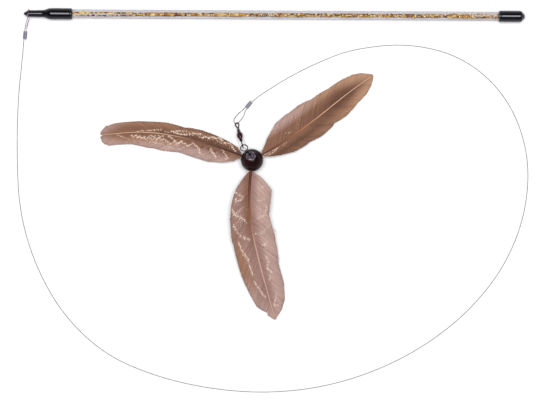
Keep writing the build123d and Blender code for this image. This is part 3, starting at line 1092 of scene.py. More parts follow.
    def cap(self, name: str, corners: list[Triple], hole: float | None) -> Piece:
        """Cap turned about the wand, with a soft lip at its mouth and a hole through it where it has one.

        The radius is the outline's, less the depth of the hole times a smooth step of the distance from the
        hole's axis, which crosses the wand level.

        Args:
            name: Name of the piece.
            corners: Outline from the closed end to the tube.
            hole: Station of the wire's hole, if any.

        Returns:
            The piece.
        """
        line = spaced(rounded(corners), self.cap_step if hole is None else self.hole_step)
        points = turned(line, self.origin, self.axis, self.across, self.steps)
        if hole is not None:
            away = np.hypot(points[..., 0] - hole, points[..., 2] - self.origin[2])
            press = 1 - smooth_step(self.hole_floor * self.hole_radius, self.hole_radius, away)
            outward = points - (self.origin + points[..., :1] * self.axis)
            radius = np.linalg.norm(outward, axis=-1, keepdims=True)
            share = self.hole_depth * press[..., None] / np.maximum(radius, self.hole_depth)
            points = points - outward * share
        return Surface.grid(points).piece(name)

    def tip_cap(self) -> Piece:
        """Stepped cap: blunt cone, slim nose, sloping shoulder and sleeve, turned in at the mouth.

        Returns:
            The piece.
        """
        low, high = node_box("tip_cap")
        outer = (high[2] - low[2]) / 2
        tip, mouth = low[0], high[0]
        nose = tip + self.cone_length
        shoulder = nose + self.nose_length
        sleeve = shoulder + self.shoulder_length
        tip_round, nose_round, shoulder_round, sleeve_round = self.tip_rounds
        corners = [
            (tip, 0.0, 0),
            (tip, self.cone_end_radius, tip_round),
            (nose, self.nose_radius, nose_round),
            (shoulder, self.nose_radius + self.nose_draft, shoulder_round),
            (sleeve, outer - self.lip_swell, sleeve_round),
            *self.lip(mouth, -1.0, outer),
        ]
        return self.cap("tip_vinyl_cap", corners, joint_place("tip_loop_swing")[0])

    def lip(self, mouth: float, inward: float, outer: float) -> list[Triple]:
        """Corners of a cap's rolled lip: a shallow groove, the round lip and the turn-in to the tube.

        Args:
            mouth: Station of the mouth.
            inward: Direction from the mouth into the cap, 1 or -1.
            outer: Outer radius of the lip.

        Returns:
            Corners of the outline.
        """
        ease = self.groove_length / 3
        start = self.lip_length + self.groove_length
        return [
            (mouth + inward * start, outer - self.lip_swell, ease),
            (mouth + inward * (start - ease), outer - self.groove_depth, ease / 2),
            (mouth + inward * (start - 2 * ease), outer - self.groove_depth, ease / 2),
            (mouth + inward * self.lip_length, outer, 2 * ease),
            (mouth, outer, 2 * ease),
            (mouth, self.tube_radius, ease / 2),
            (mouth + inward * self.lip_length, self.tube_radius, 0),
        ]

    def handle_cap(self) -> Piece:
        """Plain cap with a blunt cone, turned in at the mouth.

        Returns:
            The piece.
        """
        low, high = node_box("handle_cap")
        outer = (high[2] - low[2]) / 2
        mouth, end = low[0], high[0]
        end_round, cone_round = self.handle_rounds
        corners = [
            (end, 0.0, 0),
            (end, self.handle_end_radius, end_round),
            (end - self.handle_cone_length, outer - self.lip_swell, cone_round),
            *self.lip(mouth, 1.0, outer),
        ]
        return self.cap("handle_vinyl_cap", corners, None)

    def rod(self, name: str, start: float, end: float) -> Piece:
        """Round rod in the bore with eased ends.

        Args:
            name: Name of the piece.
            start: Station of its first end.
            end: Station of its last end.

        Returns:
            The piece.
        """
        radius, ease = self.bore_radius - self.plug_gap, self.plug_round
        line = rounded([(start, 0.0, 0), (start, radius, ease), (end, radius, ease), (end, 0.0, 0)])
        points = turned(line, self.origin, self.axis, self.across, self.plug_steps)
        return Surface.grid(points).piece(name)

    def dowel(self) -> Piece:
        """Wooden dowel that fills the nose of the tip and ends inside the cap."""
        return self.rod("tip_dowel", node_box("tip_plug")[0][0], self.mouth - self.lip_length)

    def end_plug(self) -> Piece:
        """Clear plug that closes the tube inside the handle cap."""
        low, high = node_box("handle_plug")
        return self.rod("end_plug", low[0], high[0])

    def level(self, station: Array) -> Array:
        """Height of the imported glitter: slow sines along the tube, falling to a thin line near the handle.

        Args:
            station: Places along the tube.

        Returns:
            Heights.
        """
        low, high = node_box("glitter_bed")
        swell = sum((size * np.sin(station / length) for size, length in self.fill_waves), self.fill_share)
        thin = smooth_step(self.thin_start, self.thin_end, station)
        return low[2] + (high[2] - low[2]) * (swell * (1 - thin) + self.thin_share * thin)

    def leaned(self, points: Array) -> Array:
        """Points turned about the tube's axis by the lean of the settled glitter.

        Args:
            points: Points in the bore.

        Returns:
            The turned points.
        """
        flat, tall = np.moveaxis(points - self.origin, -1, 0)[1:]
        lean = self.lean + self.thin_lean * smooth_step(self.thin_start, self.thin_end, points[..., 0])
        side = flat * np.cos(lean) - tall * np.sin(lean)
        height = flat * np.sin(lean) + tall * np.cos(lean)
        return self.origin + np.stack([points[..., 0] - self.origin[0], side, height], axis=-1)

    def bed(self) -> Piece:
        """Packed core of the glitter: the bottom of a round bore up to an uneven level.

        A section point is the bore's arc where it lies under the level, and elsewhere the level, no wider
        than the bore's chord there.

        Returns:
            The piece.
        """
        station = np.linspace(self.core_start, node_box("glitter_bed")[1][0], self.core_rows)[:, None]
        turn = circle(self.core_steps)[None, :]
        radius = self.bore_radius - self.core_gap
        level = self.level(station)
        half = np.sqrt(radius**2 - np.minimum(level - self.origin[2], 0) ** 2)
        y = self.origin[1] + np.clip(radius * np.cos(turn), -half, half)
        z = np.minimum(self.origin[2] + radius * np.sin(turn), level)
        points = self.leaned(np.stack([np.broadcast_to(station, y.shape), y, z], axis=-1))
        ends = np.repeat(points[[0, -1]].mean(axis=1, keepdims=True), turn.size, axis=1)
        points = np.concatenate([ends[:1], points, ends[1:]])
        shade = self.random.uniform(0.0, self.core_shade, points.shape[:2]).ravel()
        return Surface.grid(points, shade=shade).piece("glitter_core")

    def flakes(self, name: str, centres: Array, facing: Array, shades: Array) -> Piece:
        """Six-sided foil flakes: a thin prism at each centre, its flat side along its facing.

        Args:
            name: Name of the piece.
            centres: Middle of each flake.
            facing: Direction that each flake's flat side looks in.
            shades: Shade of each flake.

        Returns:
            The piece.
        """
        count = len(centres)
        across = unit(np.cross(facing, self.random.normal(size=(count, 3))))
        over = np.cross(facing, across)
        turn = circle(self.flake_sides)[None, :, None]
        size = self.flake_radius * self.random.uniform(*self.flake_sizes, (count, 1, 1))
        rim = size * (np.cos(turn) * across[:, None] + np.sin(turn) * over[:, None])
        half = facing[:, None] * self.flake_thickness / 2
        middle = np.repeat(centres[:, None], self.flake_sides, axis=1)
        rows = [middle - half, middle + rim - half, middle + rim + half, middle + half]
        shade = np.repeat(shades, len(rows) * self.flake_sides)
        return Surface.grid(np.stack(rows, axis=1), shade=shade).piece(name)

    def foil(self, along: Array, across: Array) -> Array:
        """Painted glints and painted shade of flakes: those that lie together share a dark, gold or bright
        colour in place of catching the light.

        The bore is parted into cells, so many across, and each cell draws one of the shades.

        Args:
            along: Place of each flake along the tube.
            across: Its place across the tube, from -1 to 1.

        Returns:
            Shade of each flake.
        """
        cells = self.random.choice(self.glint_and_shade_levels, (self.foil_cells, self.foil_rows), p=self.glint_and_shade_odds)
        column = ((along - self.mouth) / self.foil_pitch).astype(int) % self.foil_cells
        row = np.clip((across + 1) * self.foil_rows / 2, 0, self.foil_rows - 1).astype(int)
        return np.clip(cells[column, row] + self.random.normal(0, self.foil_spread, along.size), 0, 1)

    def heap(self) -> Piece:
        """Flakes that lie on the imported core, tilted every way, and in two rows before it starts.

        A flake lies across the level's chord of the bore; in the rows it keeps to the chord's two ends.

        Returns:
            The piece.
        """
        count = self.bed_flakes + self.row_flakes
        rows = np.arange(count) < self.row_flakes
        start = np.where(rows, self.mouth + self.flake_radius, self.core_start)
        end = np.where(rows, self.core_start, self.thin_end)
        x = start + (end - start) * self.random.uniform(0, 1, count)
        level = self.level(x) + self.random.uniform(0.0, self.heap_rise, count)
        reach = self.bore_radius - self.heap_gap
        half = np.sqrt(np.maximum(reach**2 - (level - self.origin[2]) ** 2, self.heap_least**2))
        share = self.random.uniform(-1, 1, count)
        beside = self.row_share + (1 - self.row_share) * np.abs(share)
        share = np.where(rows, np.sign(share) * beside, share)
        facing = unit(UP + self.random.normal(0, self.heap_tilt, (count, 3)))
        # Painted shade: flakes near the sides of the bed are darkened.
        dim = self.painted_edge_shade * smooth_step(self.edge_start, 1.0, np.abs(share))
        shades = self.foil(x, share) * (1 - dim)
        centres = self.leaned(np.stack([x, self.origin[1] + half * share, level], axis=-1))
        return self.flakes("glitter_heap", centres, facing, shades)

    def cling(self) -> Piece:
        """Flakes that cling to the wall of the bore near the handle end.

        Returns:
            The piece.
        """
        high = node_box("glitter_bed")[1]
        count = self.cling_flakes
        back = self.cling_length * self.random.uniform(0, 1, count) ** self.cling_bunch
        x = high[0] - back - self.cling_end
        turn = self.random.uniform(-self.cling_dip, math.pi + self.cling_dip, count)
        outward = np.stack([np.zeros(count), np.cos(turn), np.sin(turn)], axis=-1)
        seat = self.bore_radius - self.cling_gap
        centres = self.origin + x[:, None] * self.axis + outward * seat
        facing = unit(outward + self.random.normal(0, self.cling_tilt, (count, 3)))
        # Painted glints and painted shade, held up to a least level near the wall.
        shades = np.maximum(self.foil(x, np.cos(turn)), self.cling_least)
        return self.flakes("glitter_cling", centres, facing, shades)


@dataclass
class Leader:
    """Thin steel leader: a loop through the tip, the long free wire, and a loop through the swivel."""

    wire: float = 0.5 * MM
    sleeve_pitch: float = 1.4 * MM
    sleeve_radius: float = 0.75 * MM
    sleeve_swell: float = 0.2 * MM
    sleeve_length: float = 6.6 * MM
    crimp_depth: float = 0.15 * MM
    crimp_spacing: float = 2.6 * MM
    crimp_width: float = 0.75 * MM
    sleeve_rows: int = 41
    sleeve_steps: int = 40
    sleeve_end: float = 0.9
    tip_heading: float = math.radians(265.6)
    lure_heading: float = math.radians(51.0)
    tag: float = 1.3 * MM
    tip_loop_length: float = 56.0 * MM
    leader_length: float = 1.1143
    lure_loop_length: float = 50.5 * MM
    loop_rise: float = 1.25 * MM
    loop_run: float = 2.5 * MM
    entry_run: float = 7.0 * MM
    tip_route: Route = (
        (-220.61, 120.97, 0.8),
        (-217.55, 126.85, 5.05),
        (-217.55, 135.7, 5.05),
        (-217.8, 135.7, 8.8),
        (-218.55, 126.6, 9.1),
        (-222.007, 121.08, 0.8),
    )
    free_route: Route = (
        (-224.3, 92.0, 0.5),
        (-228.1, 55.0, 0.3),
        (-228.8, 4.9, 0.3),
        (-226.0, -45.0, 0.3),
        (-211.3, -93.4, 0.3),
        (-185.8, -137.2, 0.3),
        (-148.4, -171.6, 0.3),
        (-101.9, -190.8, 0.3),
        (-52.7, -201.4, 0.3),
        (-2.7, -204.5, 0.3),
        (47.3, -198.5, 0.3),
        (95.2, -183.2, 0.3),
        (139.6, -159.3, 0.3),
        (178.4, -127.1, 0.3),
        (208.9, -86.4, 0.3),
        (226.1, -38.5, 0.3),
        (227.4, 12.4, 0.3),
        (208.4, 60.6, 0.3),
        (170.6, 95.2, 0.3),
        (121.2, 108.3, 0.3),
        (70.7, 102.9, 0.3),
        (41.5, 91.6, 0.3),
        (14.6, 78.2, 0.3),
        (-6.2, 65.0, 0.4),
    )
    down_steps: Route = ((6.7, 8.6, -1.85), (4.7, 5.0, -1.75), (2.4, 2.2, -1.6))
    back_steps: Route = ((-2.5, 1.2, 1.1), (-2.6, 4.6, 0.2), (2.0, 10.2, -1.2))

    def __post_init__(self) -> None:
        """Read where the sleeves lie and where the wire meets the swivel."""
        self.tip_sleeve = np.mean(node_box("tip_ferrule"), axis=0)
        self.lure_sleeve = np.mean(node_box("lure_ferrule"), axis=0)
        self.link = joint_place("line_eye_swing")

    def build(self) -> None:
        """Make the sleeves, then the three stretches of wire that they hold."""
        alloy = Metal("sleeve_alloy", tone(138, 135, 150), tone(118, 114, 130), 0.6, 700.0).material()
        steel = Metal("leader_steel", tone(74, 46, 66), tone(56, 34, 50), 0.4, 900.0, 0.3).material()
        tip_sleeve = self.sleeve("tip_sleeve", self.tip_sleeve, self.tip_heading)
        lure_sleeve = self.sleeve("lure_sleeve", self.lure_sleeve, self.lure_heading)
        dress(tip_sleeve, Body.LEADER, "crimp_sleeve", alloy, "tip_ferrule")
        dress(lure_sleeve, Body.LEADER, "crimp_sleeve", alloy, "lure_ferrule")
        # The tip loop is the leader's own wire; its paler steel copy is a painted highlight.
        self.tip_loop(Metal("tip_steel_painted_highlight", tone(158, 142, 156), tone(128, 112, 126), 0.3, 900.0).material())
        self.free_wire(steel, tip_sleeve, lure_sleeve)
        self.lure_loop(steel)

    def strand(self, centre: Array, heading: float, side: float, along: float) -> Array:
        """Point on one of a sleeve's two strands.

        Args:
            centre: Middle of the sleeve.
            heading: Direction of its axis in plan.
            side: Strand, 1 for the left one and -1 for the right one.
            along: Place along the axis from the middle.

        Returns:
            The point.
        """
        ahead = heading_line(heading)
        return centre + np.cross(UP, ahead) * side * self.sleeve_pitch / 2 + ahead * along

    def cord(self, name: str, points: Array, length: float, **facts: object) -> Piece:
        """One stretch of wire.

        Args:
            name: Name of the piece.
            points: Route in metres.
            length: Length of the stretch; not used.
            facts: What else is said of the cord; not used.

        Returns:
            The piece.
        """
        piece = cord_curve(name, points, self.wire)
        return piece

    def tip_loop(self, steel: Material) -> None:
        """Wire from its tag, up through the sleeve and the nose, over the front and back into the sleeve.

        Args:
            steel: Finish: a paler copy of the leader's steel, its highlight painted into the colour.
        """
        half = self.sleeve_length / 2
        first = self.strand(self.tip_sleeve, self.tip_heading, 1, half + self.tag)
        last = self.strand(self.tip_sleeve, self.tip_heading, -1, 0)
        points = np.vstack([first, np.array(self.tip_route) * MM, last])
        piece = self.cord("tip_loop_wire", points, self.tip_loop_length, far_end="object", lay="loose")
        dress(piece, Body.LEADER, "leader_steel", steel, "tip_loop")

    def free_wire(self, steel: Material, *sleeves: Piece) -> None:
        """The long wire that lies on the table from one sleeve to the other.

        Args:
            steel: Finish.
            sleeves: Pieces that lie on the wire.
        """
        first = self.strand(self.tip_sleeve, self.tip_heading, -1, 0)
        entry = self.strand(self.lure_sleeve, self.lure_heading, -1, self.entry_run)
        last = self.strand(self.lure_sleeve, self.lure_heading, -1, 0)
        points = np.vstack([first, np.array(self.free_route) * MM, entry, last])
        facts = {"far_end": "fitting", "lay": "loose", "with_pieces": list(sleeves)}
        piece = self.cord("leader_line", points, self.leader_length, **facts)
        dress(piece, Body.LEADER, "leader_steel", steel, "leader_wire")

    def lure_loop(self, steel: Material) -> None:
        """Wire from the lure sleeve, up through the line eye and back to its tag.

        Args:
            steel: Finish.
        """
        half = self.sleeve_length / 2
        rise = UP * self.loop_rise
        points = np.vstack(
            [
                self.strand(self.lure_sleeve, self.lure_heading, -1, 0),
                self.strand(self.lure_sleeve, self.lure_heading, -1, -half - self.loop_run),
                self.link + np.array(self.down_steps) * MM,
                self.link - rise,
                self.link + rise,
                self.link + np.array(self.back_steps) * MM,
                self.strand(self.lure_sleeve, self.lure_heading, 1, -half - self.loop_run),
                self.strand(self.lure_sleeve, self.lure_heading, 1, half + self.tag),
            ]
        )
        piece = self.cord("lure_loop_wire", points, self.lure_loop_length, far_end="object", lay="loose")
        dress(piece, Body.LEADER, "leader_steel", steel, "lure_loop")

    def sleeve(self, name: str, centre: Array, heading: float) -> Piece:
        """Double-barrel sleeve pressed in twice on each face.

        A section point is half the pitch to its side plus a round of the sleeve's radius; its height is
        lessened near each crimp by a bell curve, and both ends are rounded over.

        Args:
            name: Name of the piece.
            centre: Middle of the sleeve.
            heading: Direction of its axis in plan.

        Returns:
            The piece.
        """
        ahead = heading_line(heading)
        half = self.sleeve_length / 2
        along = np.linspace(-half, half, self.sleeve_rows)
        along = np.concatenate([[-half, -half], along, [half, half]])[:, None]
        rim = [0.0, self.sleeve_end]
        close = np.concatenate([rim, np.ones(self.sleeve_rows), rim[::-1]])[:, None]
        turn = circle(self.sleeve_steps)[None, :]
        bell = sum(
            np.exp(-(((along - place) / self.crimp_width) ** 2))
            for place in (-self.crimp_spacing / 2, self.crimp_spacing / 2)
        )
        round_side = (self.sleeve_radius + self.sleeve_swell) * np.cos(turn)
        side = (np.sign(np.cos(turn)) * self.sleeve_pitch / 2 + round_side) * close
        height = (self.sleeve_radius - self.crimp_depth * bell) * np.sin(turn) * close
        flat = centre + along[..., None] * ahead + side[..., None] * np.cross(UP, ahead)
        points = flat + height[..., None] * UP
        return Surface.grid(points).piece(name)


@dataclass
class Swivel:
    """Barrel swivel: a bulged barrel and two wire eyes with their tails wound on."""

    half_length: float = 3.3 * MM
    radius: float = 2.6 * MM
    end_radius: float = 1.6 * MM
    groove: float = 0.14 * MM
    groove_place: float = 0.72
    groove_width: float = 0.07
    hole_gap: float = 0.08 * MM
    hole_start: float = 0.4
    end_round: float = 0.2 * MM
    wire: float = 0.5 * MM
    tail: float = 0.425 * MM
    shaft_start: float = 0.3
    loop_step: float = 0.3 * MM
    reach: float = 13.0 * MM
    loop_half_width: float = 1.65 * MM
    neck: float = 3.2 * MM
    wrap_pitch: float = 1.0 * MM
    wrap_turns: float = 2.0
    rows: int = 61
    steps: int = 48
    loop_samples: int = 49
    shaft_samples: int = 20
    helix_samples: int = 80
    wire_sides: int = 16
    tail_sides: int = 12

    def __post_init__(self) -> None:
        """Read the swivel's middle and directions from its joints."""
        self.centre = joint_place("line_eye_spin")
        self.to_line = joint_axis("line_eye_spin")
        self.up = joint_axis("bead_link_swing")
        self.side = np.cross(self.up, self.to_line)

    def build(self) -> None:
        """Make the barrel and both eyes."""
        nickel = Metal("swivel_nickel", tone(88, 70, 77), tone(46, 33, 39), 0.26, 800.0).material()
        dress(self.barrel(), Body.BARREL, "swivel_metal", nickel, "swivel_barrel")
        line = self.eye("line_eye", self.to_line, self.up)
        dress(line, Body.LINE_EYE, "swivel_metal", nickel, "swivel_line_eye")
        lure = self.eye("lure_eye", -self.to_line, self.side)
        dress(lure, Body.LURE_EYE, "swivel_metal", nickel, "swivel_lure_eye")

    def barrel(self) -> Piece:
        """Barrel turned about the swivel's axis: an arc from end to end with a groove near each end.

        The radius falls from the middle by the square of the place, less a bell curve at each groove.

        Returns:
            The piece.
        """
        share = np.linspace(-1, 1, self.rows)
        bulge = self.end_radius + (self.radius - self.end_radius) * (1 - share**2)
        places = (-self.groove_place, self.groove_place)
        cut = sum(np.exp(-(((share - place) / self.groove_width) ** 2)) for place in places)
        line = np.stack([share * self.half_length, bulge - self.groove * cut], axis=-1)
        hole = self.wire + self.hole_gap
        ends = [(-self.half_length, hole), (-self.half_length, self.end_radius - self.end_round)]
        start = np.array([(-self.hole_start * self.half_length, hole), *ends])
        line = np.concatenate([start, line, start[::-1] * np.array([-1.0, 1.0])])
        points = turned(line, self.centre, self.to_line, self.up, self.steps)
        return Surface.grid(points, wrap_rows=True).piece("barrel")

    def eye(self, name: str, ahead: Array, normal: Array) -> Piece:
        """Teardrop eye: neck, two runs that open to a round loop, and the tail wound round the neck.

        The loop is a circle of the eye's half width whose tangents meet at the neck; the tail is a helix
        round the neck whose radius is that of both wires together.

        Args:
            name: Name of the piece.
            ahead: Direction from the barrel to the eye.
            normal: Direction square to the eye's plane.

        Returns:
            The piece.
        """
        across = np.cross(normal, ahead)
        neck = self.half_length + self.neck
        middle = self.reach - self.loop_half_width
        touch = math.acos(self.loop_half_width / (middle - neck))
        turn = np.linspace(math.pi - touch, -(math.pi - touch), self.loop_samples)
        wide = self.loop_half_width
        arc = np.stack([middle + wide * np.cos(turn), wide * np.sin(turn)], axis=-1)
        root = np.array([[neck, 0.0]])
        flat = spaced(np.concatenate([root, arc, root]), self.loop_step)
        loop = self.centre + flat[:, :1] * ahead + flat[:, 1:] * across
        run = np.linspace(self.shaft_start * self.half_length, neck + self.wire, self.shaft_samples)
        shaft = self.centre + run[:, None] * ahead
        turns = np.linspace(0, FULL_TURN * self.wrap_turns, self.helix_samples)[:, None]
        wound = self.wire + self.tail
        start = neck - self.wrap_pitch * self.wrap_turns - self.tail
        helix = self.centre + (start + self.wrap_pitch * turns / FULL_TURN) * ahead
        helix = helix + wound * (np.cos(turns) * across + np.sin(turns) * normal)
        return Surface.joined(
            Surface.grid(swept(loop, self.wire, self.wire_sides, normal)),
            Surface.grid(swept(shaft, self.wire, self.wire_sides, normal)),
            Surface.grid(swept(helix, self.tail, self.tail_sides, ahead)),
        ).piece(name)


@dataclass(frozen=True)
class Stroke:
    """Mark on a vane: places along and across it and half its width, in millimetres, and its strength."""

    points: tuple[Pair, ...]
    half_width: float = 0.8
    strength: float = 0.9
    full: float = 0.4
    none: float = 1.5

    def cover(self, lay: Array) -> Array:
        """Share to which the stroke covers places on a vane.

        The distance to a run is that to its nearest point. The cover falls in a smooth step of that
        distance in half widths, from the strength where it is full to nothing, and the nearest run counts.

        Args:
            lay: Places along and across the vane.

        Returns:
            Shares from 0 to the strength.
        """
        away = np.full(lay.shape[:-1], np.inf)
        spots = np.array(self.points)
        for start, run in zip(spots, np.diff(spots, axis=0)):
            share = np.clip((lay - start) @ run / (run @ run), 0, 1)[..., None]
            away = np.minimum(away, np.linalg.norm(lay - start - share * run, axis=-1))
        fall = smooth_step(self.full * self.half_width, self.none * self.half_width, away)
        return self.strength * (1 - fall)


@dataclass
class Feather:
    """One feather: a bent, tapered rachis with hundreds of barbs on each side."""

    node: str
    heading: float
    slope: float
    reach: float
    rachis_shares: Route
    vane_shares: Route
    notches: tuple[tuple[Side, float, float], ...]
    splits: tuple[tuple[Side, float, float], ...]
    strays: tuple[tuple[Side, float, float, float, float], ...]
    pale: tuple[Stroke, ...]
    patches: tuple[Stroke, ...]
    finish: FeatherFinish
    seed: int
    quill_radius: float
    tip_radius: float = 0.25 * MM
    quill_inset: float = 2.6 * MM
    stand_off: float = 0.6 * MM
    droop: float = 0.08
    barbs: int = 420
    barb_steps: int = 19
    barb_half_width: float = 0.36 * MM
    ragged: float = 0.4
    stray_half_width: float = 0.14 * MM
    barb_bends: Pair = (1.1, 1.3)
    barb_lift: float = 0.03 * MM
    wave_lift: float = 0.15 * MM
    wave_pace: float = 43.0
    barb_ridge: float = 0.16
    barb_taper: float = 0.75
    barb_taper_power: int = 6
    edge_jitter: float = 0.008
    first_end: float = 0.012
    last_root: float = 0.992
    slants: tuple[Pair, ...] = ((0.0, 0.6), (0.12, 1.05), (0.6, 1.3), (1.0, 1.7))
    notch_length: float = 0.03
    notch_falls: Pair = (2.0, 0.7)
    split_length: float = 0.022
    shade_middle: float = 0.6
    shade_jitter: float = 0.1
    shade_wave: float = 0.1
    shade_pace: float = 31.0
    shade_most: float = 0.9
    line_samples: int = 240
    quill_samples: int = 12
    shaft_sides: int = 14
    shaft_taper: float = 0.75
    shaft_pattern: float = 6.0

    def __post_init__(self) -> None:
        """Work out the rachis from the bead and the shares of the reach."""
        low, high = node_box("bead")
        self.bead_centre = (low + high) / 2
        bead_radius = (high[0] - low[0]) / 2
        heading, slope = math.radians(self.heading), math.radians(self.slope)
        self.along = heading_line(heading) * math.cos(slope) + UP * math.sin(slope)
        base = self.bead_centre + self.along * (bead_radius + self.stand_off)
        foot = self.bead_centre * np.array([1.0, 1.0, 0.0])
        points = np.vstack([base, foot + np.array(self.rachis_shares) * self.reach])
        self.line = bent_line(points, self.along, points[-1] - points[-2], self.line_samples)
        self.length = np.linalg.norm(np.diff(self.line, axis=0), axis=1).sum()
        self.random = np.random.default_rng(self.seed)

    def build(self) -> None:
        """Make the vane and the rachis."""
        dress(self.vane(), Body.LURE, "feather", self.finish.vane(), self.node)
        dress(self.rachis(), Body.LURE, "feather", self.finish.shaft())

    def at(self, station: Array) -> tuple[Array, Array, Array]:
        """Points on the rachis at shares of its length, carried straight on past the tip.

        Args:
            station: Shares of the length.

        Returns:
            Points, directions to the left and directions up.
        """
        marks = np.linspace(0, 1, len(self.line))
        ahead = unit(np.gradient(self.line, axis=0))
        points = read_at(station, marks, self.line)
        facing = unit(read_at(station, marks, ahead))
        over = np.clip(station - 1, 0, None)[..., None] * self.length * ahead[-1]
        left = unit(np.cross(UP, facing))
        return points + over, left, np.cross(facing, left)

    def half_widths(self, station: Array, side: Side) -> Array:
        """Half width of the vane at shares of the length, read from the table of shares.

        Args:
            station: Shares of the length.
            side: Side of the feather.

        Returns:
            Half widths.
        """
        table = np.array(self.vane_shares)
        column = table[:, 1 if side is Side.LEFT else 2]
        return np.interp(station, table[:, 0], column) * self.reach

    def spikes(
        self,
        side: Side,
        start: Array,
        end: Array,
        wide: Array,
        half_width: float,
        shade: Array,
    ) -> Surface:
        """Barbs of one side as flat three-sided spikes.

        The place along rises a little faster than evenly, and the place across as one less a power of what
        is left of the barb, so that it leaves the rachis steeply and bends towards the tip. Each barb
        reads the marks a little further along or back than the next, which makes them ragged.

        Args:
            side: Side of the feather.
            start: Station of each barb's root on the rachis.
            end: Station of its tip.
            wide: Distance of its tip from the rachis.
            half_width: Half width of a barb.
            shade: Shade of each barb.

        Returns:
            Surface with the pattern coordinates, shades and marks of the spikes.
        """
        count = len(start)
        share = np.linspace(0, 1, self.barb_steps)[None, :]
        station = start[:, None] + (end - start)[:, None] * share ** self.barb_bends[0]
        across = wide[:, None] * (1 - (1 - share) ** self.barb_bends[1])
        point, left, up = self.at(station)
        lift = self.random.normal(0, self.barb_lift, count)[:, None] * share - self.droop * across
        lift = lift + self.wave_lift * np.sin(end * self.wave_pace + self.seed)[:, None] * share**2
        middle = point + side.value * across[..., None] * left + lift[..., None] * up
        thick = half_width * (1 - self.barb_taper * share**self.barb_taper_power)[..., None]
        flank = unit(np.cross(unit(np.gradient(middle, axis=1)), up)) * thick
        ridge = self.barb_ridge * thick * up
        section = np.stack([middle + flank - ridge, middle + ridge, middle - flank - ridge], axis=2)
        tips = np.repeat(middle[:, [0, -1], None], 3, axis=2)
        points = np.concatenate([tips[:, :1], section, tips[:, 1:]], axis=1)
        rows = np.clip(np.arange(-1, self.barb_steps + 1), 0, self.barb_steps - 1).repeat(3)
        lay = np.stack([station * self.length, side.value * across], axis=-1) / MM
        read = lay + self.random.normal(0, self.ragged, (count, 1, 1)) * np.array([1.0, 0.0])
        marks = {
            SHADE: np.repeat(shade, rows.size),
            PALE: self.drawn(self.pale, read)[:, rows].ravel(),
            PATCH: self.drawn(self.patches, read)[:, rows].ravel(),
        }
        return Surface.grid(points, lay=lay[:, rows].reshape(-1, 2), **marks)

    def drawn(self, strokes: tuple[Stroke, ...], lay: Array) -> Array:
        """Share to which the strongest of some strokes covers places on the vane."""
        return np.max([np.zeros(lay.shape[:-1]), *(stroke.cover(lay) for stroke in strokes)], axis=0)

    def side_barbs(self, side: Side) -> Surface:
        """The close-set barbs of one side.

        A barb ends on the vane's edge at its own station and starts as far back along the rachis as its
        slant asks. At a notch the edge draws in by a share that fades on both sides; at a split the ends of
        the barbs are pushed apart along the edge.

        Args:
            side: Side of the feather.

        Returns:
            Surface of the barbs.
        """
        end = self.barb_ends(side)
        wide = self.half_widths(end, side) * (1 + self.random.normal(0, self.edge_jitter, self.barbs))
        before, after = self.notch_falls
        for place, depth in ((place, depth) for where, place, depth in self.notches if where is side):
            gap = (end - place) / self.notch_length
            wide = wide * (1 - depth * np.exp(-np.abs(np.where(gap > 0, gap * after, gap * before))))
        start = np.clip(end - self.slant(end) * wide / self.length, 0.0, self.last_root)
        for place, depth in ((place, depth) for where, place, depth in self.splits if where is side):
            gap = end - place
            end = end + depth * np.sign(gap) * np.exp(-np.abs(gap) / self.split_length)
        jitter = self.random.normal(0, self.shade_jitter, self.barbs)
        wave = self.shade_wave * np.sin(end * self.shade_pace + self.seed)
        shade = np.clip(self.shade_middle + jitter + wave, 0, self.shade_most)
        return self.spikes(side, start, end, wide, self.barb_half_width, shade)

    def slant(self, end: Array) -> Array:
        """How far back a barb starts, in half widths of the vane, by the station of its tip."""
        return np.interp(end, *zip(*self.slants))

    def barb_ends(self, side: Side) -> Array:
        """Stations of the barbs' tips, so spaced that roots and tips together advance evenly.

        Args:
            side: Side of the feather.

        Returns:
            Shares of the length.
        """
        end = np.linspace(self.first_end, self.vane_shares[-1][0], 10 * self.barbs)
        root = np.maximum.accumulate(end - self.slant(end) * self.half_widths(end, side) / self.length)
        pace = end + root
        return np.interp(np.linspace(pace[0], pace[-1], self.barbs), pace, end)

    def stray_barbs(self, side: Side) -> Surface:
        """The few loose barbs of one side that stand away from the vane.

        Args:
            side: Side of the feather.

        Returns:
            Surface of the barbs.
        """
        rows = [stray[1:] for stray in self.strays if stray[0] is side]
        start, end, wide, shade = np.array(rows).reshape(-1, 4).T
        return self.spikes(side, start, end, wide * self.reach, self.stray_half_width, shade)

    def vane(self) -> Piece:
        """Both sides' barbs as one piece."""
        sides = [make(side) for side in Side for make in (self.side_barbs, self.stray_barbs)]
        return Surface.joined(*sides).piece(self.node + "_vane")

    def rachis(self) -> Piece:
        """Tapered shaft from inside the bead to the tip of the vane.

        Returns:
            The piece.
        """
        inner = self.bead_centre + self.along * self.quill_inset
        share = np.linspace(0, 1, self.quill_samples, endpoint=False)[:, None]
        run = inner + (self.line[0] - inner) * share
        path = np.concatenate([run, self.line])
        taper = np.clip((np.arange(len(path)) - len(run)) / len(self.line), 0, 1)
        radius = self.quill_radius + (self.tip_radius - self.quill_radius) * taper**self.shaft_taper
        points = swept(path, radius, self.shaft_sides, UP)
        rows = np.concatenate([taper[:1], taper, taper[-1:]])
        turn = np.linspace(0, self.shaft_pattern, self.shaft_sides)
        lay = np.stack(np.meshgrid(rows * self.length / MM, turn, indexing="ij"), axis=-1)
        return Surface.grid(points, lay=lay.reshape(-1, 2)).piece(self.node + "_rachis")


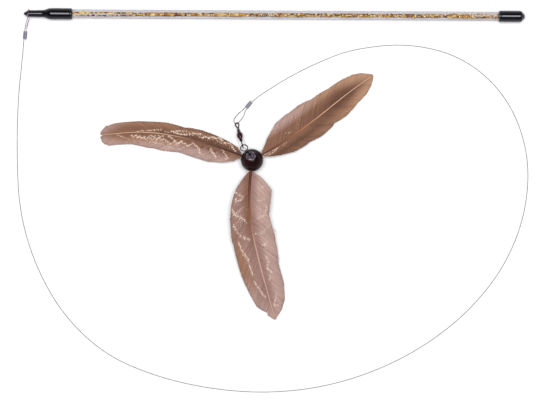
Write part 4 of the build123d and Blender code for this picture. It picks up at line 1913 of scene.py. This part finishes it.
@dataclass
class Lure:
    """Lacquered bead with a wire ring glued into its hole."""

    hole_radius: float = 3.8 * MM
    hole_tilt: float = math.radians(24.0)
    hole_heading: float = math.radians(107.0)
    rim_round: float = 0.5 * MM
    rim_bevel: float = 0.12 * MM
    glue_crown: float = 0.55 * MM
    glue_spread: float = 0.7 * MM
    glue_gap: float = 0.04 * MM
    glue_edge: float = 0.03 * MM
    glue_foot: float = 0.3 * MM
    glue_neck: float = 0.8 * MM
    wire: float = 0.45 * MM
    strand_gap: float = 0.5 * MM
    ring_radius: float = 3.1 * MM
    ring_turn: float = math.radians(22.0)
    ring_slack: float = -0.2 * MM
    ring_side_slack: float = 0.85 * MM
    shank_depth: float = 4.6 * MM
    shank_rise: float = 1.1 * MM
    foot_share: float = 0.4
    foot_step: float = 1.2 * MM
    crest_share: float = 0.7
    twists: float = 1.75
    steep: Pair = (0.6, 0.95)
    ball_rows: int = 72
    ball_steps: int = 96
    dome_rows: int = 24
    glue_steps: int = 64
    shank_samples: int = 90
    ring_samples: int = 80
    wire_samples: int = 320
    wire_sides: int = 14

    def __post_init__(self) -> None:
        """Read the bead's middle and the link's place from the frame."""
        low, high = node_box("bead")
        self.centre = (low + high) / 2
        self.radius = (high[0] - low[0]) / 2
        plan = heading_line(self.hole_heading)
        self.axis = plan * math.sin(self.hole_tilt) + UP * math.cos(self.hole_tilt)
        self.across = unit(np.cross(self.axis, plan))
        self.mouth = math.sqrt(self.radius**2 - self.hole_radius**2)

    def build(self) -> None:
        """Make the bead, the ring and the glue."""
        dress(self.bead(), Body.LURE, "bead_lacquer", Lacquer().material(), "bead")
        wire = Metal("ring_nickel", tone(58, 44, 50), tone(34, 24, 29), 0.24, 800.0).material()
        dress(self.ring(), Body.LURE, "ring_wire", wire, "bead_eye")
        dress(self.glue(), Body.LURE, "clear_glue", ClearGlue().material(), "bead_glue")

    def bead(self) -> Piece:
        """Ball with a hole right through: a circle's arc from rim to rim and the bore, as one turned loop.

        Returns:
            The piece.
        """
        rim = math.asin(self.hole_radius / self.radius)
        ease = self.rim_round / self.radius
        turn = np.linspace(rim + ease, math.pi - rim - ease, self.ball_rows)
        ball = np.stack([self.radius * np.cos(turn), self.radius * np.sin(turn)], axis=-1)
        lip = self.mouth - self.rim_round
        bore = np.array([(-lip, self.hole_radius), (0.0, self.hole_radius), (lip, self.hole_radius)])
        top = np.array([(self.mouth - self.rim_bevel, self.hole_radius + self.rim_bevel)])
        loop = np.concatenate([ball, top * np.array([-1.0, 1.0]), bore, top])
        points = turned(loop, self.centre, self.axis, self.across, self.ball_steps)
        return Surface.grid(points, wrap_rows=True).piece("lacquer_bead")

    def glue(self) -> Piece:
        """Glue in the hole: a plug that creeps over the rim.

        Its top falls from the crown by the fourth power of the distance from the hole's axis.

        Returns:
            The piece.
        """
        share = np.linspace(0, 1, self.dome_rows)
        inner = self.hole_radius - self.glue_gap
        spread = self.hole_radius + self.glue_spread
        edge = math.sqrt(self.radius**2 - spread**2)
        crown = edge + self.glue_edge + (self.mouth + self.glue_crown - edge) * (1 - share**4)
        dome = np.stack([crown, spread * share], axis=-1)
        floor, neck = self.mouth - self.shank_depth, self.mouth - self.glue_neck
        under = np.array([(edge - self.glue_foot, spread), (neck, inner), (floor, inner), (floor, 0.0)])
        line = np.concatenate([dome, under])
        points = turned(line, self.centre, self.axis, self.across, self.glue_steps)
        return Surface.grid(points).piece("glue_dome")

    def ring(self) -> Piece:
        """Hairpin of wire: a round ring whose two ends twist together, pass over the rim and end in the glue.

        The shank's middle is a bent line from the glue to the ring; the two strands stand off it to opposite
        sides, and the side turns by a number of twists on the way.

        Returns:
            The piece.
        """
        link = joint_place("bead_link_swing")
        to_line = joint_axis("line_eye_spin")
        up = joint_axis("bead_link_swing")
        side = np.cross(up, to_line)
        centre = link + to_line * self.ring_slack - side * self.ring_side_slack
        ahead = -to_line * math.cos(self.ring_turn) - side * math.sin(self.ring_turn)
        left = np.cross(up, ahead)
        mouth = self.centre + self.axis * self.mouth
        neck = centre + ahead * (self.ring_radius + self.wire)
        level = unit((neck - mouth) - self.axis * np.dot(neck - mouth, self.axis))
        foot = mouth - self.axis * self.shank_depth * self.foot_share - level * self.foot_step
        top = mouth + level * self.wire + self.axis * self.shank_rise * self.crest_share
        rim = mouth + level * self.hole_radius + self.axis * self.shank_rise
        shank = bent_line(np.stack([foot, top, rim, neck]), self.axis, -ahead, self.shank_samples)
        run = unit(np.gradient(shank, axis=0))
        beside = unit(np.cross(run, up))
        over = np.cross(beside, run)
        share = np.linspace(0, 1, len(shank))[:, None]
        turn = FULL_TURN * self.twists * (1 - share)
        offset = self.strand_gap * (np.cos(turn) * beside + np.sin(turn) * over)
        one, other = shank + offset, shank - offset
        lean = math.asin(self.strand_gap / self.ring_radius)
        first = np.sign(np.dot(one[-1] - shank[-1], left))
        around = np.linspace(lean, FULL_TURN - lean, self.ring_samples)[:, None]
        ring = centre + self.ring_radius * (np.cos(around) * ahead + first * np.sin(around) * left)
        path = even(np.concatenate([one, ring, other[::-1]]), self.wire_samples)
        points = swept(path, self.wire, self.wire_sides, self.ring_up(path, up))
        return Surface.grid(points).piece("ring_wire")

    def ring_up(self, path: Array, up: Array) -> Array:
        """Direction at each point of the ring's path that its run is never parallel to.

        Args:
            path: Points of the path.
            up: Direction that serves where the run isn't steep.

        Returns:
            Directions.
        """
        ahead = unit(np.gradient(path, axis=0))
        steep = smooth_step(*self.steep, np.abs(ahead @ up))[:, None]
        return unit((1 - steep) * up + steep * self.across)


LEFT_FINISH = FeatherFinish(
    name="left_feather",
    left=VaneFinish(
        base=(Plume.FAWN, Plume.ROSE, Plume.BLUSH),
        tip=(Plume.FAWN, Plume.TAN, Plume.BLUSH),
        span=14.0,
    ),
    right=VaneFinish(
        base=(Plume.CHESTNUT, Plume.FAWN, Plume.FAWN),
        tip=(Plume.FAWN, Plume.FAWN, Plume.TAN),
        span=11.0,
    ),
    quill=tone(66, 34, 34),
    rachis=tone(126, 86, 72),
    rachis_tip=tone(206, 168, 140),
    fade=Plume.BLUSH,
    fade_start=114.0,
)
RIGHT_FINISH = FeatherFinish(
    name="right_feather",
    left=VaneFinish(
        base=(Plume.FAWN, Plume.FAWN, Plume.BLUSH),
        tip=(Plume.CHESTNUT, Plume.FAWN, Plume.SAND),
        span=19.0,
    ),
    right=VaneFinish(
        base=(Plume.FAWN, Plume.CHESTNUT, Plume.FAWN),
        tip=(Plume.CHESTNUT, Plume.FAWN, Plume.TAN),
        span=15.0,
    ),
    quill=tone(90, 52, 48),
    rachis=tone(190, 122, 74),
    rachis_tip=tone(222, 180, 148),
    fade=Plume.SAND,
    fade_start=97.0,
)
LOWER_FINISH = FeatherFinish(
    name="lower_feather",
    left=VaneFinish(
        base=(Plume.ROSE, Plume.BLUSH, Plume.BLUSH),
        tip=(Plume.ROSE, Plume.BLUSH, Plume.BLUSH),
        span=18.0,
    ),
    right=VaneFinish(
        base=(Plume.FAWN, Plume.ROSE, Plume.ROSE),
        tip=(Plume.ROSE, Plume.ROSE, Plume.TAN),
        span=18.0,
    ),
    quill=tone(84, 46, 34),
    rachis=tone(150, 98, 72),
    rachis_tip=tone(200, 166, 150),
    fade=Plume.BLUSH,
    fade_start=114.0,
)


def left_feather() -> Feather:
    """The feather that points left, with jagged pale marks on both vanes.

    Returns:
        The feather.
    """
    return Feather(
        node="feather_left",
        heading=158.0,
        slope=-8.0,
        reach=130.8 * MM,
        rachis_shares=(
            (-0.29, 0.104, 0.037),
            (-0.555, 0.168, 0.023),
            (-0.79, 0.187, 0.018),
            (-1.025, 0.167, 0.015),
        ),
        vane_shares=(
            (0.0, 0.014, 0.012),
            (0.05, 0.057, 0.044),
            (0.12, 0.089, 0.061),
            (0.22, 0.113, 0.074),
            (0.32, 0.112, 0.080),
            (0.44, 0.105, 0.073),
            (0.56, 0.113, 0.080),
            (0.68, 0.103, 0.074),
            (0.80, 0.080, 0.073),
            (0.90, 0.075, 0.071),
            (0.965, 0.076, 0.058),
            (1.0, 0.050, 0.026),
            (1.01, 0.014, 0.006),
        ),
        notches=((Side.RIGHT, 0.43, 0.07), (Side.LEFT, 0.62, 0.03), (Side.LEFT, 0.4, 0.03)),
        splits=((Side.RIGHT, 0.955, 0.006), (Side.LEFT, 0.975, 0.004)),
        strays=(
            (Side.RIGHT, 0.90, 1.005, 0.034, 0.5),
            (Side.RIGHT, 0.91, 1.01, 0.024, 0.5),
            (Side.RIGHT, 0.92, 1.005, 0.012, 0.5),
        ),
        pale=(
            Stroke(((96, -0.5), (88, -1.5), (80, -2.5), (74, -4)), 0.6, 0.7),
            Stroke(((71, -2), (66, -3), (60, -5), (53, -6.5)), strength=0.7),
            Stroke(((63, -2.5), (56, -2.5), (50, -4), (46, -6), (40, -7)), strength=0.75),
            Stroke(((38, -4), (36, -6), (32, -5.5), (30, -7.5), (26, -7), (24, -8.5), (21, -7))),
            Stroke(((20, -4.5), (16, -6.5), (12, -6.5), (9, -3), (6, -2)), strength=0.7),
            Stroke(((60, -4), (40, -5.5), (12, -5)), 3.5, 0.3),
            Stroke(((114, 1), (111, 2.5), (107, 4.5), (105, 5.5)), 0.6, 0.7),
            Stroke(((101, 2.5), (99, 4.5), (97, 2.5), (95, 5), (94, 3), (92, 5.5), (89, 3.5), (88, 6)), 0.6),
            Stroke(((87, 5.5), (85, 3), (83, 6.5), (80, 4), (78, 6.5), (76, 3.5)), 0.6),
            Stroke(((76, 3.5), (74, 6), (71, 4), (68, 6), (64, 8)), 0.6),
            Stroke(((84, 2), (81, 3.5), (79, 1.5)), 0.5, 0.8),
            Stroke(((77, 2), (74, 2.5), (72, 1.5)), 0.5, 0.8),
            Stroke(((82, 8), (76, 9), (71, 8)), 0.5, 0.7),
            Stroke(((68, 1.5), (65, 1.5), (63, 3.5), (60, 4.5), (57, 6)), 0.7),
            Stroke(((57, 5.5), (55, 3.5), (53, 5.5), (51, 4), (49, 6.5), (46, 4)), 0.6),
            Stroke(((45, 2.5), (42, 4), (39, 5), (37, 8.5), (36, 10)), 0.7),
            Stroke(((62, 5), (60, 7), (58, 7.5)), 0.5, 0.8),
            Stroke(((28, 3), (26, 5.5), (23, 7.5), (21, 9.5))),
            Stroke(((18, 0.5), (16, 2), (14, 4), (11, 6), (12, 8)), 0.7, 0.8),
            Stroke(((100, 6), (60, 10), (15, 9)), 5.0, 0.3),
        ),
        patches=(
            Stroke(((74, -1), (59, -1.5), (46, -2), (27, -3), (18, -3.5), (4, -1)), 2.0, 0.8),
            Stroke(((92, 3), (76, 4), (60, 5), (48, 3.5), (36, 3.5), (20, 3.5), (10, 4)), 2.2, 0.5),
        ),
        finish=LEFT_FINISH,
        seed=3,
        quill_radius=0.75 * MM,
    )


def right_feather() -> Feather:
    """The feather that points right, the plainest and darkest of the three.

    Returns:
        The feather.
    """
    return Feather(
        node="feather_right",
        heading=29.0,
        slope=-6.0,
        reach=129.3 * MM,
        rachis_shares=(
            (0.301, 0.187, 0.050),
            (0.479, 0.322, 0.034),
            (0.657, 0.466, 0.022),
            (0.814, 0.582, 0.016),
        ),
        vane_shares=(
            (0.0, 0.014, 0.012),
            (0.05, 0.046, 0.040),
            (0.12, 0.091, 0.066),
            (0.22, 0.136, 0.098),
            (0.32, 0.147, 0.106),
            (0.44, 0.146, 0.119),
            (0.56, 0.128, 0.112),
            (0.68, 0.113, 0.116),
            (0.80, 0.102, 0.099),
            (0.90, 0.084, 0.080),
            (0.96, 0.056, 0.053),
            (1.0, 0.022, 0.024),
            (1.02, 0.004, 0.004),
        ),
        notches=(
            (Side.RIGHT, 0.35, 0.07),
            (Side.RIGHT, 0.57, 0.1),
            (Side.RIGHT, 0.8, 0.06),
            (Side.LEFT, 0.35, 0.04),
            (Side.LEFT, 0.54, 0.05),
            (Side.LEFT, 0.7, 0.03),
        ),
        splits=(),
        strays=((Side.RIGHT, 0.35, 0.43, 0.11, 1.0),),
        pale=(
            Stroke(((1, -1.2), (10, -1.4), (18, -1.5), (25, -1.6)), 0.5, 0.6),
            Stroke(((3.5, -3), (7, -3), (11, -3), (13.5, -2), (15.5, -2.5)), 0.5, 0.75),
            Stroke(((36, 10.5), (43, 15.5)), 0.4, 0.5),
            Stroke(((41, 4.5), (47, 9)), 0.4, 0.5),
            Stroke(((26, 5.5), (33, 3.5)), 0.8, 0.5),
        ),
        patches=(
            Stroke(((17, 6.5), (23, 11), (31, 17)), 0.5, 0.45),
            Stroke(((8, -4), (40, -5)), 2.5, 0.35),
        ),
        finish=RIGHT_FINISH,
        seed=5,
        quill_radius=0.68 * MM,
    )


def lower_feather() -> Feather:
    """The feather that points down, the palest and widest, with long curved marks.

    Returns:
        The feather.
    """
    return Feather(
        node="feather_lower",
        heading=264.5,
        slope=15.0,
        reach=139.9 * MM,
        rachis_shares=(
            (-0.015, -0.286, 0.106),
            (0.017, -0.508, 0.076),
            (0.074, -0.736, 0.040),
            (0.149, -1.0, 0.010),
        ),
        vane_shares=(
            (0.0, 0.014, 0.012),
            (0.05, 0.084, 0.044),
            (0.12, 0.141, 0.081),
            (0.20, 0.135, 0.109),
            (0.31, 0.119, 0.128),
            (0.44, 0.133, 0.140),
            (0.56, 0.129, 0.135),
            (0.68, 0.118, 0.132),
            (0.80, 0.115, 0.113),
            (0.90, 0.094, 0.091),
            (0.96, 0.059, 0.048),
            (1.0, 0.016, 0.016),
            (1.015, 0.004, 0.004),
        ),
        notches=((Side.LEFT, 0.66, 0.05), (Side.RIGHT, 0.47, 0.04), (Side.RIGHT, 0.955, 0.15)),
        splits=((Side.RIGHT, 0.965, 0.008),),
        strays=(
            (Side.LEFT, 0.29, 0.45, 0.155, 0.1),
            (Side.LEFT, 0.29, 0.44, 0.148, 1.0),
            (Side.RIGHT, 0.24, 0.30, 0.128, 1.0),
            (Side.RIGHT, 0.22, 0.29, 0.11, 1.0),
        ),
        pale=(
            Stroke(((19, -13), (20.5, -9), (23, -5.5), (25.5, -7.5), (26.5, -12), (24, -12)), 0.7, 0.8),
            Stroke(((33, -15.5), (37.5, -13.5), (39.5, -10), (41.5, -6.5), (44.5, -4.5)), 1.0),
            Stroke(((45.5, -15.5), (50, -14.5), (55, -11.5), (58.5, -7.5), (60.5, -3.5))),
            Stroke(((61.5, -14), (67, -13), (72, -11.5), (75, -10.5), (78, -8.5)), 0.9),
            Stroke(((79.5, -10), (84.5, -9), (92, -8.5)), 0.7),
            Stroke(((97.5, -9), (101.5, -7.5), (106.5, -6), (110, -5), (114.5, -2.5)), 0.7),
            Stroke(((20, -12), (60, -10), (110, -5)), 4.0, 0.25),
            Stroke(((14.5, 8.5), (12.5, 12.5)), strength=0.7),
            Stroke(((26.5, 7.5), (25, 11.5), (24, 14)), strength=0.7),
            Stroke(((29.5, 14), (34, 15.5), (38.5, 12.5)), strength=0.75),
            Stroke(((44, 4.5), (41, 9.5), (40.5, 14)), strength=0.75),
            Stroke(((56.5, 1.5), (56.5, 7), (54, 11.5), (51, 16.5)), strength=0.7),
            Stroke(((67.5, 6), (66.5, 9.5), (71, 8)), strength=0.7),
            Stroke(((78, 6), (82.5, 8), (89, 5), (93.5, 8.5), (97.5, 6), (100, 4)), strength=0.75),
            Stroke(((113, 8), (118, 5), (123.5, 2.5), (123.5, 6)), strength=0.7),
            Stroke(((12, 10), (60, 10), (120, 6)), 5.0, 0.25),
        ),
        patches=(
            Stroke(((10, -2), (40, -3), (70, -3)), 2.5, 0.25),
            Stroke(((30, -11), (60, -9), (85, -6)), 3.0, 0.2),
        ),
        finish=LOWER_FINISH,
        seed=8,
        quill_radius=1.3 * MM,
    )


def main() -> None:
    """Build the studio, then the leader, the wand, the swivel, the lure and its feathers."""
    logging.basicConfig(level=logging.INFO, format="%(name)s: %(message)s")
    Studio().build()
    Leader().build()
    Wand().build()
    Swivel().build()
    Lure().build()
    for feather in (left_feather(), right_feather(), lower_feather()):
        feather.build()


if __name__ == "__main__":
    main()
